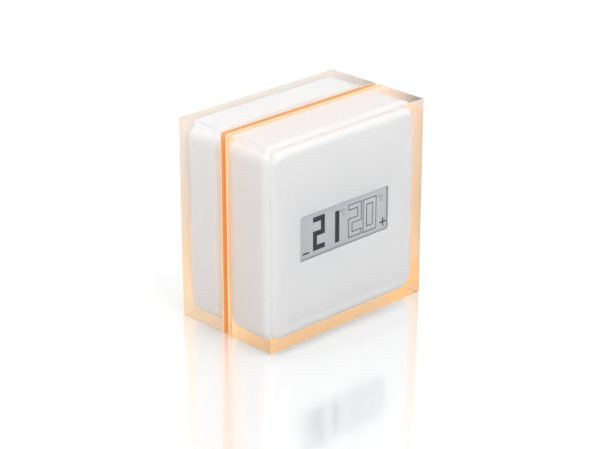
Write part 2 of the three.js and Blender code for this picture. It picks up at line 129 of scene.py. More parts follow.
class Recipe:
    """A material's nodes while they are being drawn, with one Principled shader."""

    def __init__(self, name: str) -> None:
        """Starts a material.

        Args:
            name: the material's name.
        """
        self.material = bpy.data.materials.new(name)
        self.material.use_nodes = True
        self.tree = self.material.node_tree
        self.shader = self.tree.nodes["Principled BSDF"]
        self.place = self.node("ShaderNodeTexCoord").outputs["Object"]

    def node(self, kind: str, **settings: object) -> bpy.types.Node:
        """Adds a node and sets its properties.

        Args:
            kind: the node's type.
            settings: its own properties by name.

        Returns:
            The node.
        """
        made = self.tree.nodes.new(kind)
        for key, value in settings.items():
            setattr(made, key, value)
        return made

    def put(self, name: str, value: object) -> None:
        """Gives one of the shader's inputs a value, or links it when the value is a socket.

        Args:
            name: the input's name.
            value: a number, a colour or a socket.
        """
        target = self.shader.inputs[name]
        if isinstance(value, Socket):
            self.tree.links.new(value, target)
        elif isinstance(value, tuple):
            target.default_value = (*value, 1.0)
        else:
            target.default_value = value

    def stretched(self, scale: tuple[float, float, float]) -> Socket:
        """The object's own coordinates, stretched along its axes.

        Args:
            scale: how far each axis is stretched.

        Returns:
            The socket that carries it.
        """
        mapping = self.node("ShaderNodeMapping")
        mapping.inputs["Scale"].default_value = scale
        self.tree.links.new(self.place, mapping.inputs["Vector"])
        return mapping.outputs["Vector"]

    def noise(self, scale: float, detail: float = 3.0, where: Socket | None = None,
              distortion: float = 0.0) -> Socket:
        """Cloudy noise.

        Args:
            scale: cells for each metre.
            detail: how many finer layers it has.
            where: the coordinates that it reads, or the object's own.
            distortion: how far it is twisted.

        Returns:
            Its strength from 0 to 1.
        """
        made = self.node("ShaderNodeTexNoise")
        made.inputs["Scale"].default_value = scale
        made.inputs["Detail"].default_value = detail
        made.inputs["Distortion"].default_value = distortion
        self.tree.links.new(where or self.place, made.inputs["Vector"])
        return made.outputs["Fac"]

    def span(self, value: Socket, low: float, high: float,
             start: float = 0.0, end: float = 1.0) -> Socket:
        """Turns a value between start and end into one between low and high.

        Args:
            value: the value to turn.
            low: what it is at the start.
            high: what it is at the end.
            start: where the span starts.
            end: where the span ends.

        Returns:
            The socket that carries it.
        """
        made = self.node("ShaderNodeMapRange")
        for name, number in (("From Min", start), ("From Max", end), ("To Min", low), ("To Max", high)):
            made.inputs[name].default_value = number
        self.tree.links.new(value, made.inputs["Value"])
        return made.outputs["Result"]

    def ramp(self, value: Socket, stops: Sequence[tuple[float, Colour]]) -> Socket:
        """Colours a value with a row of stops, each a position and a colour.

        Args:
            value: the value from 0 to 1.
            stops: the positions and their colours.

        Returns:
            The socket that carries it.
        """
        made = self.node("ShaderNodeValToRGB")
        elements = made.color_ramp.elements
        while len(elements) < len(stops):
            elements.new(0.5)
        for element, (position, colour) in zip(elements, stops):
            element.position = position
            element.color = (*colour, 1.0)
        self.tree.links.new(value, made.inputs["Fac"])
        return made.outputs["Color"]

    def along(self, axis: int) -> Socket:
        """One of the object's own coordinates, in metres.

        Args:
            axis: 0 across, 1 backwards or 2 upwards.

        Returns:
            The socket that carries it.
        """
        split = self.node("ShaderNodeSeparateXYZ")
        self.tree.links.new(self.place, split.inputs["Vector"])
        return split.outputs[axis]

    def reckoned(self, operation: str, first: Socket, second: Socket) -> Socket:
        """One sum of two values, such as ADD or MAXIMUM.

        Args:
            operation: the sum's name.
            first: its first value.
            second: its second value.

        Returns:
            The socket that carries it.
        """
        made = self.node("ShaderNodeMath", operation=operation)
        self.tree.links.new(first, made.inputs[0])
        self.tree.links.new(second, made.inputs[1])
        return made.outputs[0]

    def tinted(self, colour: Socket, tint: Socket) -> Socket:
        """Multiplies a colour by another or by a strength.

        Args:
            colour: the colour to tint.
            tint: what it is multiplied by.

        Returns:
            The socket that carries it.
        """
        made = self.node("ShaderNodeVectorMath", operation="MULTIPLY")
        self.tree.links.new(colour, made.inputs[0])
        self.tree.links.new(tint, made.inputs[1])
        return made.outputs[0]

    def bump(self, height: Socket, strength: float, depth: float) -> None:
        """Raises the surface by a height, whose full range is depth in millimetres.

        Args:
            height: the height from 0 to 1.
            strength: how strongly it shows.
            depth: its full range in millimetres.
        """
        made = self.node("ShaderNodeBump")
        made.inputs["Strength"].default_value = strength
        made.inputs["Distance"].default_value = depth * MM
        self.tree.links.new(height, made.inputs["Height"])
        self.tree.links.new(made.outputs["Normal"], self.shader.inputs["Normal"])


@dataclass(frozen=True)
class Acrylic:
    """Clear cast acrylic, polished or left satin."""

    name: str
    roughness: float = 0.0
    ior: float = 1.49
    tint: Colour = CLEAR
    sheen: float = 0.06
    wave: float = 0.01

    def make(self) -> Material:
        """Draws the material.

        Returns:
            The material.
        """
        recipe = Recipe(self.name)
        recipe.put("Base Color", self.tint)
        recipe.put("Roughness", self.roughness)
        recipe.put("IOR", self.ior)
        recipe.put("Specular IOR Level", self.sheen)
        recipe.put("Transmission Weight", 1.0)
        recipe.bump(recipe.noise(35, detail=1), self.wave, 0.05)
        return recipe.material


@dataclass(frozen=True)
class Moulding:
    """Injection-moulded plastic: a fine spark-eroded grain and slow changes of tone and gloss.

    The painted glow is emission painted on the lowest edge, standing in for light that the films carry into
    the lowest edge of a translucent moulding; the sides tint is painted warm light, standing in for what they
    carry in behind its front face.
    """

    name: str
    dark: Colour
    light: Colour
    gloss: tuple[float, float] = (0.35, 0.5)
    grain: float = 2400.0
    relief: float = 0.2
    sheen: float = 0.5
    # Painted light: emission at the lowest edge, which lightens the shade there.
    painted_glow: Colour = DARK
    # Painted light: a warm tint of the sides, standing in for the films' light.
    sides: Colour = CLEAR
    low_edge: tuple[float, float] = (-0.0382, -0.0325)
    front_edge: tuple[float, float] = (-0.0471, -0.0437)

    def make(self) -> Material:
        """Draws the material.

        Returns:
            The material.
        """
        recipe = Recipe(self.name)
        # Painted glow: emission fading upwards from the lowest edge, standing in for the films' light.
        if any(self.painted_glow):
            upward = recipe.span(recipe.along(2), 0.0, 1.0, *self.low_edge)
            recipe.put("Emission Color", recipe.ramp(upward, [(0.0, self.painted_glow), (1.0, DARK)]))
            recipe.put("Emission Strength", 1.0)
        clouds = recipe.noise(90, detail=4, distortion=0.4)
        colour = recipe.ramp(clouds, [(0.3, self.dark), (0.7, self.light)])
        # Painted light: behind the front face the colour is tinted warm, standing in for the films' light.
        if min(self.sides) < 1.0:
            forward = recipe.span(recipe.along(1), 1.0, 0.0, *self.front_edge)
            colour = recipe.tinted(colour, recipe.ramp(forward, [(0.0, self.sides), (1.0, CLEAR)]))
        recipe.put("Base Color", colour)
        recipe.put("Roughness", recipe.span(recipe.noise(420, detail=3), *self.gloss, start=0.3, end=0.7))
        recipe.put("Specular IOR Level", self.sheen)
        recipe.bump(recipe.noise(self.grain, detail=2), self.relief, 0.05)
        return recipe.material


@dataclass(frozen=True)
class Film:
    """Fluorescent colour film. Its emission is painted light, standing in for the light that it throws into
    the acrylic from the side that is bonded to it.

    The painted glow goes from the bottom to the top of the bonded side. Edge is the share of it that is left
    in the strips along the top and the left, a painted shade, and corner the share at the lower right, a
    painted light. The open side has an even painted glow of its own, and crest is a painted light that tints
    the film's own top edge.
    Middle is the film's depth in millimetres, and towards is 1 when the bonded side is the one at the front.
    """

    name: str
    dark: Colour
    light: Colour
    # Painted light: the emission colours from the bottom to the top of the bonded side.
    painted_glow: tuple[Colour, Colour, Colour]
    open_glow: Colour
    strength: float
    middle: float
    towards: int
    edge: Colour = CLEAR
    corner: Colour = CLEAR
    crest: Colour = CLEAR
    half: float = 0.0415
    stops: tuple[float, float, float] = (0.0, 0.35, 1.0)
    edge_reach: tuple[float, float] = (0.0378, 0.0386)
    corner_reach: tuple[float, float] = (0.03, 0.037)
    crest_reach: tuple[float, float] = (0.037, 0.0405)

    def make(self) -> Material:
        """Draws the material.

        Returns:
            The material.
        """
        recipe = Recipe(self.name)
        tone = recipe.ramp(recipe.noise(160, detail=3), [(0.3, self.dark), (0.7, self.light)])
        # Painted light: the film's top edge is tinted by crest.
        peak = recipe.span(recipe.along(2), 0.0, 1.0, *self.crest_reach)
        recipe.put("Base Color", recipe.tinted(tone, recipe.ramp(peak, [(0.0, CLEAR), (1.0, self.crest)])))
        recipe.put("Roughness", recipe.span(recipe.noise(900), 0.42, 0.58))
        # Painted glow: emission graded from bottom to top, with painted shade in the top and left strips and
        # painted light at the lower right.
        upward = recipe.span(recipe.along(2), 0.0, 1.0, -self.half, self.half)
        shine = recipe.ramp(upward, list(zip(self.stops, self.painted_glow)))
        leftward, down = (recipe.span(recipe.along(axis), 1.0, -1.0, -1.0, 1.0) for axis in (0, 2))
        strip = recipe.span(recipe.reckoned("MAXIMUM", recipe.along(2), leftward), 0.0, 1.0, *self.edge_reach)
        shine = recipe.tinted(shine, recipe.ramp(strip, [(0.0, CLEAR), (1.0, self.edge)]))
        spot = recipe.span(recipe.reckoned("MINIMUM", recipe.along(0), down), 0.0, 1.0, *self.corner_reach)
        shine = recipe.tinted(shine, recipe.ramp(spot, [(0.0, CLEAR), (1.0, self.corner)]))
        # The open side takes its own even painted glow.
        start, end = (-(self.middle + self.towards * step) * MM for step in (-0.05, 0.05))
        sides = recipe.node("ShaderNodeMix", data_type="RGBA")
        recipe.tree.links.new(recipe.span(recipe.along(1), 0.0, 1.0, start, end), sides.inputs[0])
        sides.inputs[6].default_value = (*self.open_glow, 1.0)
        recipe.tree.links.new(shine, sides.inputs[7])
        recipe.put("Emission Color", sides.outputs[2])
        recipe.put("Emission Strength", self.strength)
        recipe.bump(recipe.noise(3000), 0.1, 0.01)
        return recipe.material


@dataclass(frozen=True)
class Metal:
    """Drawn or stamped metal with fine lines along one axis."""

    name: str
    dark: Colour
    light: Colour
    lines: tuple[float, float, float] = (60.0, 2500.0, 2500.0)
    gloss: tuple[float, float] = (0.22, 0.42)

    def make(self) -> Material:
        """Draws the material.

        Returns:
            The material.
        """
        recipe = Recipe(self.name)
        scratches = recipe.noise(1.0, detail=3, where=recipe.stretched(self.lines))
        recipe.put("Base Color", recipe.ramp(scratches, [(0.3, self.dark), (0.7, self.light)]))
        recipe.put("Metallic", 1.0)
        recipe.put("Roughness", recipe.span(scratches, *self.gloss))
        recipe.bump(scratches, 0.25, 0.02)
        return recipe.material


@dataclass(frozen=True)
class LiquidCrystal:
    """The back of a reflective liquid crystal cell: brushed grey, with painted light that makes it paler
    towards its right and top.
    """

    name: str
    dark: Colour
    light: Colour
    half_width: float
    half_height: float

    def make(self) -> Material:
        """Draws the material.

        Returns:
            The material.
        """
        recipe = Recipe(self.name)
        # Painted light: the grey gets paler towards the right and the top.
        across = recipe.span(recipe.along(0), 0.0, 0.55, -self.half_width * MM, self.half_width * MM)
        upward = recipe.span(recipe.along(2), 0.0, 0.45, -self.half_height * MM, self.half_height * MM)
        mixed = recipe.reckoned("ADD", across, upward)
        recipe.put("Base Color", recipe.ramp(mixed, [(0.1, self.dark), (0.95, self.light)]))
        brushed = recipe.noise(1.0, detail=3, where=recipe.stretched((60.0, 3000.0, 3000.0)))
        recipe.put("Roughness", recipe.span(brushed, 0.32, 0.5))
        recipe.put("Specular IOR Level", 0.1)
        recipe.bump(brushed, 0.08, 0.01)
        return recipe.material


@dataclass(frozen=True)
class Laminate:
    """A circuit board: solder resist over copper tracks that stand a little proud."""

    name: str
    resist: Colour
    track: Colour
    pitch: float = 420.0

    def make(self) -> Material:
        """Draws the material.

        Returns:
            The material.
        """
        recipe = Recipe(self.name)
        cells = recipe.node("ShaderNodeTexVoronoi", feature="F1", distance="MANHATTAN")
        cells.inputs["Scale"].default_value = self.pitch
        cells.inputs["Randomness"].default_value = 0.8
        recipe.tree.links.new(recipe.place, cells.inputs["Vector"])
        tracks = recipe.span(cells.outputs["Distance"], 0.0, 1.0, 0.42, 0.5)
        recipe.put("Base Color", recipe.ramp(tracks, [(0.3, self.resist), (0.7, self.track)]))
        recipe.put("Roughness", recipe.span(recipe.noise(300), 0.28, 0.42))
        recipe.bump(tracks, 0.35, 0.05)
        return recipe.material


@dataclass(frozen=True)
class Banded:
    """Fine turns or printed bands that follow one axis."""

    name: str
    dark: Colour
    light: Colour
    scale: float
    axis: str = "X"
    gloss: tuple[float, float] = (0.35, 0.5)
    relief: float = 0.4

    def make(self) -> Material:
        """Draws the material.

        Returns:
            The material.
        """
        recipe = Recipe(self.name)
        wave = recipe.node("ShaderNodeTexWave", wave_type="BANDS", bands_direction=self.axis)
        wave.inputs["Scale"].default_value = self.scale
        wave.inputs["Distortion"].default_value = 0.3
        wave.inputs["Detail"].default_value = 1.0
        recipe.tree.links.new(recipe.place, wave.inputs["Vector"])
        recipe.put("Base Color", recipe.ramp(wave.outputs["Fac"], [(0.2, self.dark), (0.8, self.light)]))
        recipe.put("Roughness", recipe.span(recipe.noise(500), *self.gloss))
        recipe.bump(wave.outputs["Fac"], self.relief, 0.08)
        return recipe.material


BODY_GLOSS = (0.22, 0.26)
# Painted light: the emission that lightens the white bodies' lowest edges.
BODY_PAINTED_GLOW: Colour = (0.15, 0.145, 0.13)


def matt_ink(name: str, dark: Colour, light: Colour) -> Moulding:
    """A matt finish for the shapes on the display."""
    return Moulding(name, dark, light, (0.4, 0.5), 2600, 0.1, sheen=0.0)


@dataclass(frozen=True)
class Finishes:
    """Every finish on the thermostat."""

    acrylic: Acrylic = Acrylic("polished acrylic")
    satin: Acrylic = Acrylic("satin acrylic", 0.2)
    # Both white bodies have a painted glow at their lowest edge.
    white: Moulding = Moulding("white body", (0.874, 0.882, 0.895), (0.888, 0.895, 0.907),
                               BODY_GLOSS, 1800, 0.01, painted_glow=BODY_PAINTED_GLOW)
    # The front body also has painted warm light on its sides.
    painted_warm: Moulding = Moulding("warm white body", (0.872, 0.874, 0.88), (0.886, 0.887, 0.892),
                              BODY_GLOSS, 1800, 0.01, painted_glow=BODY_PAINTED_GLOW, sides=(0.985, 0.95, 0.935))
    cover: Moulding = Moulding("white cover", (0.72, 0.725, 0.73), (0.78, 0.78, 0.785),
                               (0.4, 0.55), 2600, 0.35)
    grey: Moulding = Moulding("grey moulding", linear(198, 201, 205), linear(204, 207, 210),
                              (0.42, 0.6), 2600, 0.4)
    # Painted light and shade: each film's emission colours and its edge, corner and crest tints.
    gap_film: Film = Film("gap film", (0.66, 0.33, 0.12), (0.7, 0.36, 0.14),
                          ((0.85, 0.64, 0.45), (0.9, 0.74, 0.55), (0.8, 0.72, 0.62)), (0.19, 0.105, 0.05),
                          0.5, 24.1, -1, crest=(0.78, 1.0, 1.5))
    rim_film: Film = Film("rim film", (0.88, 0.5, 0.24), (0.92, 0.55, 0.27),
                          ((0.9, 0.58, 0.31), (0.6, 0.45, 0.28), (0.62, 0.54, 0.48)), (0.55, 0.34, 0.2),
                          0.8, 27.0, 1, edge=(0.53, 0.46, 0.4), corner=(1.0, 0.8, 0.5))
    back_film: Film = Film("back film", (0.8, 0.6, 0.42), (0.84, 0.65, 0.46),
                           ((0.92, 0.74, 0.54), (0.7, 0.56, 0.43), (0.44, 0.57, 0.7)), DARK, 0.55, 0.2, 1)
    # Painted light: its two greys are the ends of the paler right and top.
    crystal: LiquidCrystal = LiquidCrystal("liquid crystal", (0.575, 0.595, 0.625), (0.67, 0.69, 0.715),
                                           24.0, 9.2)
    ink: Moulding = matt_ink("segment ink", (0.008, 0.01, 0.013), (0.011, 0.014, 0.018))
    line: Moulding = matt_ink("outline ink", (0.012, 0.014, 0.018), (0.018, 0.02, 0.024))
    ghost: Moulding = matt_ink("resting segment", (0.2, 0.215, 0.23), (0.24, 0.255, 0.27))
    # Painted shade: a mid grey ring along the display window's edge, where the edge's shade falls.
    painted_edge_shade: Moulding = matt_ink("display border", (0.3, 0.31, 0.33), (0.34, 0.35, 0.37))
    foam: Moulding = Moulding("closed-cell foam", linear(38, 39, 41), linear(56, 57, 60),
                              (0.85, 0.95), 1500, 0.9)
    board: Laminate = Laminate("circuit board", linear(26, 84, 56), linear(44, 116, 76))
    chip: Moulding = Moulding("black epoxy", linear(26, 27, 29), linear(40, 41, 43), (0.45, 0.62), 3000, 0.5)
    relay: Moulding = Moulding("relay case", linear(34, 82, 158), linear(44, 98, 176), (0.3, 0.42), 1800)
    winding: Banded = Banded("yellow tape and wire", linear(206, 160, 52), linear(232, 196, 92), 320.0, "Z")
    terminal: Moulding = Moulding("terminal plastic", linear(44, 138, 82), linear(58, 160, 98),
                                  (0.4, 0.55), 2200, 0.4)
    steel: Metal = Metal("nickel-plated steel", (0.46, 0.46, 0.47), (0.66, 0.66, 0.67))
    sleeve: Banded = Banded("cell sleeve", linear(38, 46, 56), linear(66, 78, 92),
                            9.0, "X", (0.22, 0.34), 0.0)


class Palette:
    """The made materials, each drawn once."""

    def __init__(self, finishes: Finishes) -> None:
        """Keeps the finishes to draw from.

        Args:
            finishes: the finishes by name.
        """
        self.finishes = finishes
        self.made: dict[str, Material] = {}

    def __getitem__(self, name: str) -> Material:
        """The material of a finish.

        Args:
            name: the finish's name.

        Returns:
            The material.
        """
        if name not in self.made:
            self.made[name] = getattr(self.finishes, name).make()
        return self.made[name]


# ---------------------------------------- mesh tools
def placed(x: float, y: float, depth: float) -> Vector:
    """Turns face coordinates in millimetres into the frame's metres."""
    return Vector((x, -depth, y)) * MM


@dataclass(frozen=True)
class Ring:
    """A rectangle with round corners at one depth."""

    width: float
    height: float
    corner: float
    depth: float
    x: float = 0.0
    y: float = 0.0

    def points(self, steps: int) -> list[Vector]:
        """Its points, counter-clockwise, with the same number in every ring of the same steps.

        Args:
            steps: how many steps each corner takes.

        Returns:
            The points in metres.
        """
        made = []
        radius = max(self.corner, 0.01)
        for quarter, (sx, sy) in enumerate(((1, 1), (-1, 1), (-1, -1), (1, -1))):
            cx = self.x + sx * (self.width / 2 - radius)
            cy = self.y + sy * (self.height / 2 - radius)
            for step in range(steps + 1):
                angle = (quarter + step / steps) * math.pi / 2
                x, y = cx + radius * math.cos(angle), cy + radius * math.sin(angle)
                made.append(placed(x, y, self.depth))
        return made


def square(size: float, corner: float, depth: float) -> Ring:
    """A square ring."""
    return Ring(size, size, corner, depth)


def turn(size: Ring, edge: float, towards: float, steps: int = 8, opening: bool = False) -> list[Ring]:
    """The rings of a rounded edge.

    Args:
        size: the outermost ring, where the edge meets the side.
        edge: the edge's radius.
        towards: 1 when the face lies further from the wall than the side, -1 when nearer.
        steps: how many rings the quarter turn takes.
        opening: True when the edge goes round an opening, so that it grows towards the face.

    Returns:
        Rings from the side to the face.
    """
    sign = 1 if opening else -1
    rings = []
    for step in range(steps + 1):
        angle = step / steps * math.pi / 2
        inset = edge * (1 - math.cos(angle))
        rings.append(Ring(size.width + sign * 2 * inset, size.height + sign * 2 * inset,
                          size.corner + sign * inset, size.depth + towards * edge * math.sin(angle),
                          size.x, size.y))
    return rings


def finished(mesh: Mesh) -> Mesh:
    """Shades a mesh smooth, but for its creases.

    Args:
        mesh: the mesh to shade.

    Returns:
        The same mesh.
    """
    mesh.shade_smooth()
    mesh.set_sharp_from_angle(angle=CREASE)
    return mesh


def to_mesh(work: Work) -> Mesh:
    """Turns worked geometry into a mesh whose faces point outwards.

    Args:
        work: the geometry, which is freed.

    Returns:
        The mesh.
    """
    bmesh.ops.remove_doubles(work, verts=work.verts, dist=1e-7)
    bmesh.ops.recalc_face_normals(work, faces=work.faces)
    mesh = bpy.data.meshes.new("shape")
    work.to_mesh(mesh)
    work.free()
    return finished(mesh)


def add_rings(work: Work, rings: Sequence[Ring], ends: Ends, steps: int = 10) -> None:
    """Joins a row of rings into one closed skin.

    Args:
        work: the geometry that it is added to.
        rings: the rings in order.
        ends: whether the two ends are capped or joined to each other.
        steps: points on each corner.
    """
    rows = [[work.verts.new(point) for point in ring.points(steps)] for ring in rings]
    pairs = list(zip(rows, rows[1:]))
    if ends is Ends.JOINED:
        pairs.append((rows[-1], rows[0]))
    else:
        work.faces.new(rows[0])
        work.faces.new(list(reversed(rows[-1])))
    count = len(rows[0])
    for first, second in pairs:
        for index in range(count):
            after = (index + 1) % count
            work.faces.new((first[index], second[index], second[after], first[after]))


def skin(rings: Sequence[Ring], ends: Ends, steps: int = 10) -> Mesh:
    """One closed mesh from a row of rings.

    Args:
        rings: the rings in order.
        ends: how the ends are finished.
        steps: points on each corner.

    Returns:
        The mesh.
    """
    work = bmesh.new()
    add_rings(work, rings, ends, steps)
    return to_mesh(work)


def add_block(work: Work, size: Point, spot: Point, back: float, face: float, ease: float) -> None:
    """Adds a block with eased edges.

    Args:
        work: the geometry that it is added to.
        size: its width and height.
        spot: its middle across and up the face.
        back: the depth where it starts.
        face: the depth where it ends.
        ease: the radius of its edges.
    """
    low = Ring(*size, 1.5 * ease, back + ease, *spot)
    high = Ring(*size, 1.5 * ease, face - ease, *spot)
    add_rings(work, list(reversed(turn(low, ease, -1, 2))) + turn(high, ease, 1, 2), Ends.CAPPED, 3)


def add_lathe(work: Work, profile: Sequence[Point], x: float, y: float, axis: Axis = Axis.DEPTH,
              depth: float = 0.0, sides: int = 32) -> None:
    """Turns a profile round an axis.

    Args:
        work: the geometry that it is added to.
        profile: radius and distance along the axis, which closes on itself or starts and ends on the axis.
        x: where the axis is across the face.
        y: where the axis is up the face.
        axis: the way that the axis points.
        depth: the depth of the axis when it doesn't run along the depth.
        sides: facets round the axis.
    """
    rows: list[list[bmesh.types.BMVert]] = []
    for radius, along in profile:
        ring = []
        for index in range(1 if radius == 0 else sides):
            angle = 2 * math.pi * index / sides
            a, b = radius * math.cos(angle), radius * math.sin(angle)
            spots = {Axis.DEPTH: (x + a, y + b, along), Axis.ACROSS: (along, y + a, depth + b),
                     Axis.UPRIGHT: (x + a, along, depth + b)}
            ring.append(work.verts.new(placed(*spots[axis])))
        rows.append(ring)
    pairs = list(zip(rows, rows[1:]))
    if profile[0][0] and profile[-1][0]:
        pairs.append((rows[-1], rows[0]))
    for first, second in pairs:
        for index in range(sides):
            after = (index + 1) % sides
            quad = [first[index % len(first)], second[index % len(second)],
                    second[after % len(second)], first[after % len(first)]]
            unique = list(dict.fromkeys(quad))
            if len(unique) > 2:
                work.faces.new(unique)


def lathe(profile: Sequence[Point], x: float = 0.0, y: float = 0.0, axis: Axis = Axis.DEPTH,
          depth: float = 0.0, sides: int = 32) -> Mesh:
    """One turned mesh.

    Args:
        profile: radius and distance along the axis.
        x: where the axis is across the face.
        y: where the axis is up the face.
        axis: the way that the axis points.
        depth: the axis's depth when it doesn't run along the depth.
        sides: facets round the axis.

    Returns:
        The mesh.
    """
    work = bmesh.new()
    add_lathe(work, profile, x, y, axis, depth, sides)
    return to_mesh(work)


def corners(spot: float) -> list[Point]:
    """The four places at one distance from both middle lines."""
    return [(x, y) for x in (-spot, spot) for y in (-spot, spot)]


def row(start: Point, step: Point, count: int) -> list[Point]:
    """Evenly spaced places along a line."""
    return [(start[0] + step[0] * index, start[1] + step[1] * index) for index in range(count)]


def at_depth(spots: Iterable[Point], depth: float) -> list[Place]:
    """Places on the face, all at one depth."""
    return [(x, y, depth) for x, y in spots]


def softened(node: str, width: float, steps: int = 2) -> Mesh:
    """A copy of a CAD node whose flat faces are whole and whose edges are eased.

    Args:
        node: the CAD node's name.
        width: how wide the eased edge is, in millimetres.
        steps: facets across the eased edge.

    Returns:
        The mesh.
    """
    work = bmesh.new()
    work.from_mesh(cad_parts[node].data)
    bmesh.ops.remove_doubles(work, verts=work.verts, dist=2e-6)
    bmesh.ops.dissolve_limit(work, angle_limit=math.radians(1.5), verts=work.verts, edges=work.edges)
    mesh = bpy.data.meshes.new(f"{node} eased")
    work.to_mesh(mesh)
    work.free()
    bare = bpy.data.objects.new(f"{node} eased", mesh)
    bpy.context.scene.collection.objects.link(bare)
    bevel = bare.modifiers.new("Eased", "BEVEL")
    bevel.width = width * MM
    bevel.segments = steps
    bevel.limit_method = "ANGLE"
    bevel.angle_limit = math.radians(40)
    bevel.use_clamp_overlap = True
    return evaluated(bare)


def evaluated(holder: bpy.types.Object) -> Mesh:
    """The mesh that an object's modifiers give. The object itself is removed.

    Args:
        holder: an object in the scene with its modifiers on.

    Returns:
        The plain mesh, shaded smooth between its creases.
    """
    graph = bpy.context.evaluated_depsgraph_get()
    mesh = bpy.data.meshes.new_from_object(holder.evaluated_get(graph))
    holder.modifiers.clear()
    bpy.data.objects.remove(holder)
    return finished(mesh)


# ---------------------------------------- geometry nodes
class Grower:
    """A Geometry Nodes tree while it is being drawn. It ends in Realize Instances and Set Material."""

    def __init__(self, name: str, sizes: dict[str, float], master: bool = False) -> None:
        """Starts a tree.

        Args:
            name: the tree's name.
            sizes: its named sizes in metres or radians, with the values that they start from.
            master: True when it also takes an object to repeat.
        """
        self.tree = bpy.data.node_groups.new(name, "GeometryNodeTree")
        face = self.tree.interface
        face.new_socket("Geometry", in_out="INPUT", socket_type="NodeSocketGeometry")
        for key, value in sizes.items():
            face.new_socket(key, in_out="INPUT", socket_type="NodeSocketFloat").default_value = value
        if master:
            face.new_socket("Master", in_out="INPUT", socket_type="NodeSocketObject")
        face.new_socket("Finish", in_out="INPUT", socket_type="NodeSocketMaterial")
        face.new_socket("Geometry", in_out="OUTPUT", socket_type="NodeSocketGeometry")
        self.given = self.tree.nodes.new("NodeGroupInput")

    def node(self, kind: str, links: dict[str, object] | None = None, **settings: object) -> bpy.types.Node:
        """Adds a node.

        Args:
            kind: its type.
            links: values or sockets for its inputs, by name.
            settings: its own properties.

        Returns:
            The node.
        """
        made = self.tree.nodes.new(kind)
        for key, value in settings.items():
            setattr(made, key, value)
        for key, value in (links or {}).items():
            target = made.inputs[key]
            if isinstance(value, Socket):
                self.tree.links.new(value, target)
            else:
                target.default_value = value
        return made

    def close(self, shape: Socket) -> None:
        """Ends the tree with the shape made real and given its finish.

        Args:
            shape: the geometry that the tree has made.
        """
        real = self.node("GeometryNodeRealizeInstances", {"Geometry": shape})
        dressed = self.node("GeometryNodeSetMaterial", {"Geometry": real.outputs[0],
                                                        "Material": self.given.outputs["Finish"]})
        out = self.tree.nodes.new("NodeGroupOutput")
        self.tree.links.new(dressed.outputs[0], out.inputs["Geometry"])

    def grow(self, base: Mesh, values: dict[str, object]) -> Mesh:
        """Runs the tree.

        Args:
            base: the points, lines or faces that it starts from.
            values: its inputs by name.

        Returns:
            The plain mesh.
        """
        holder = bpy.data.objects.new(self.tree.name, base)
        bpy.context.scene.collection.objects.link(holder)
        modifier = holder.modifiers.new(self.tree.name, "NODES")
        modifier.node_group = self.tree
        for item in self.tree.interface.items_tree:
            if item.in_out == "INPUT" and item.name in values:
                modifier[item.identifier] = values[item.name]
        return evaluated(holder)


def copier() -> Grower:
    """The tree that repeats a master piece at every point.

    Returns:
        The tree, ready to grow.
    """
    tree = Grower("repeated piece", {"Scale": 1.0}, master=True)
    info = tree.node("GeometryNodeObjectInfo", {"Object": tree.given.outputs["Master"]})
    scale = tree.node("ShaderNodeCombineXYZ", {axis: tree.given.outputs["Scale"] for axis in "XYZ"})
    spread = tree.node("GeometryNodeInstanceOnPoints", {
        "Points": tree.given.outputs["Geometry"], "Instance": info.outputs["Geometry"],
        "Scale": scale.outputs[0]})
    tree.close(spread.outputs["Instances"])
    return tree


def outliner() -> Grower:
    """The tree that draws a flat line of a width and thickness along every closed outline.

    Returns:
        The tree, ready to grow.
    """
    tree = Grower("drawn outline", {"Line Width": 0.0003, "Thickness": 0.00006})
    path = tree.node("GeometryNodeMeshToCurve", {"Mesh": tree.given.outputs["Geometry"]})
    facing = tree.node("GeometryNodeSetCurveNormal", {"Curve": path.outputs[0]}, mode="FREE")
    facing.inputs["Normal"].default_value = (0.0, -1.0, 0.0)
    section = tree.node("GeometryNodeCurvePrimitiveQuadrilateral", {
        "Width": tree.given.outputs["Thickness"], "Height": tree.given.outputs["Line Width"]})
    ribbon = tree.node("GeometryNodeCurveToMesh", {
        "Curve": facing.outputs[0], "Profile Curve": section.outputs[0]})
    tree.close(ribbon.outputs[0])
    return tree


def thickener() -> Grower:
    """The tree that gives every flat face a thickness towards the front.

    Returns:
        The tree, ready to grow.
    """
    tree = Grower("raised shape", {"Thickness": 0.00006})
    raised = tree.node("GeometryNodeExtrudeMesh", {"Mesh": tree.given.outputs["Geometry"],
                                                   "Offset Scale": tree.given.outputs["Thickness"]})
    raised.inputs["Individual"].default_value = False
    back = tree.node("GeometryNodeFlipFaces", {"Mesh": tree.given.outputs["Geometry"]})
    whole = tree.node("GeometryNodeJoinGeometry")
    tree.tree.links.new(raised.outputs["Mesh"], whole.inputs["Geometry"])
    tree.tree.links.new(back.outputs[0], whole.inputs["Geometry"])
    welded = tree.node("GeometryNodeMergeByDistance", {"Geometry": whole.outputs[0], "Distance": 1e-6})
    tree.close(welded.outputs[0])
    return tree


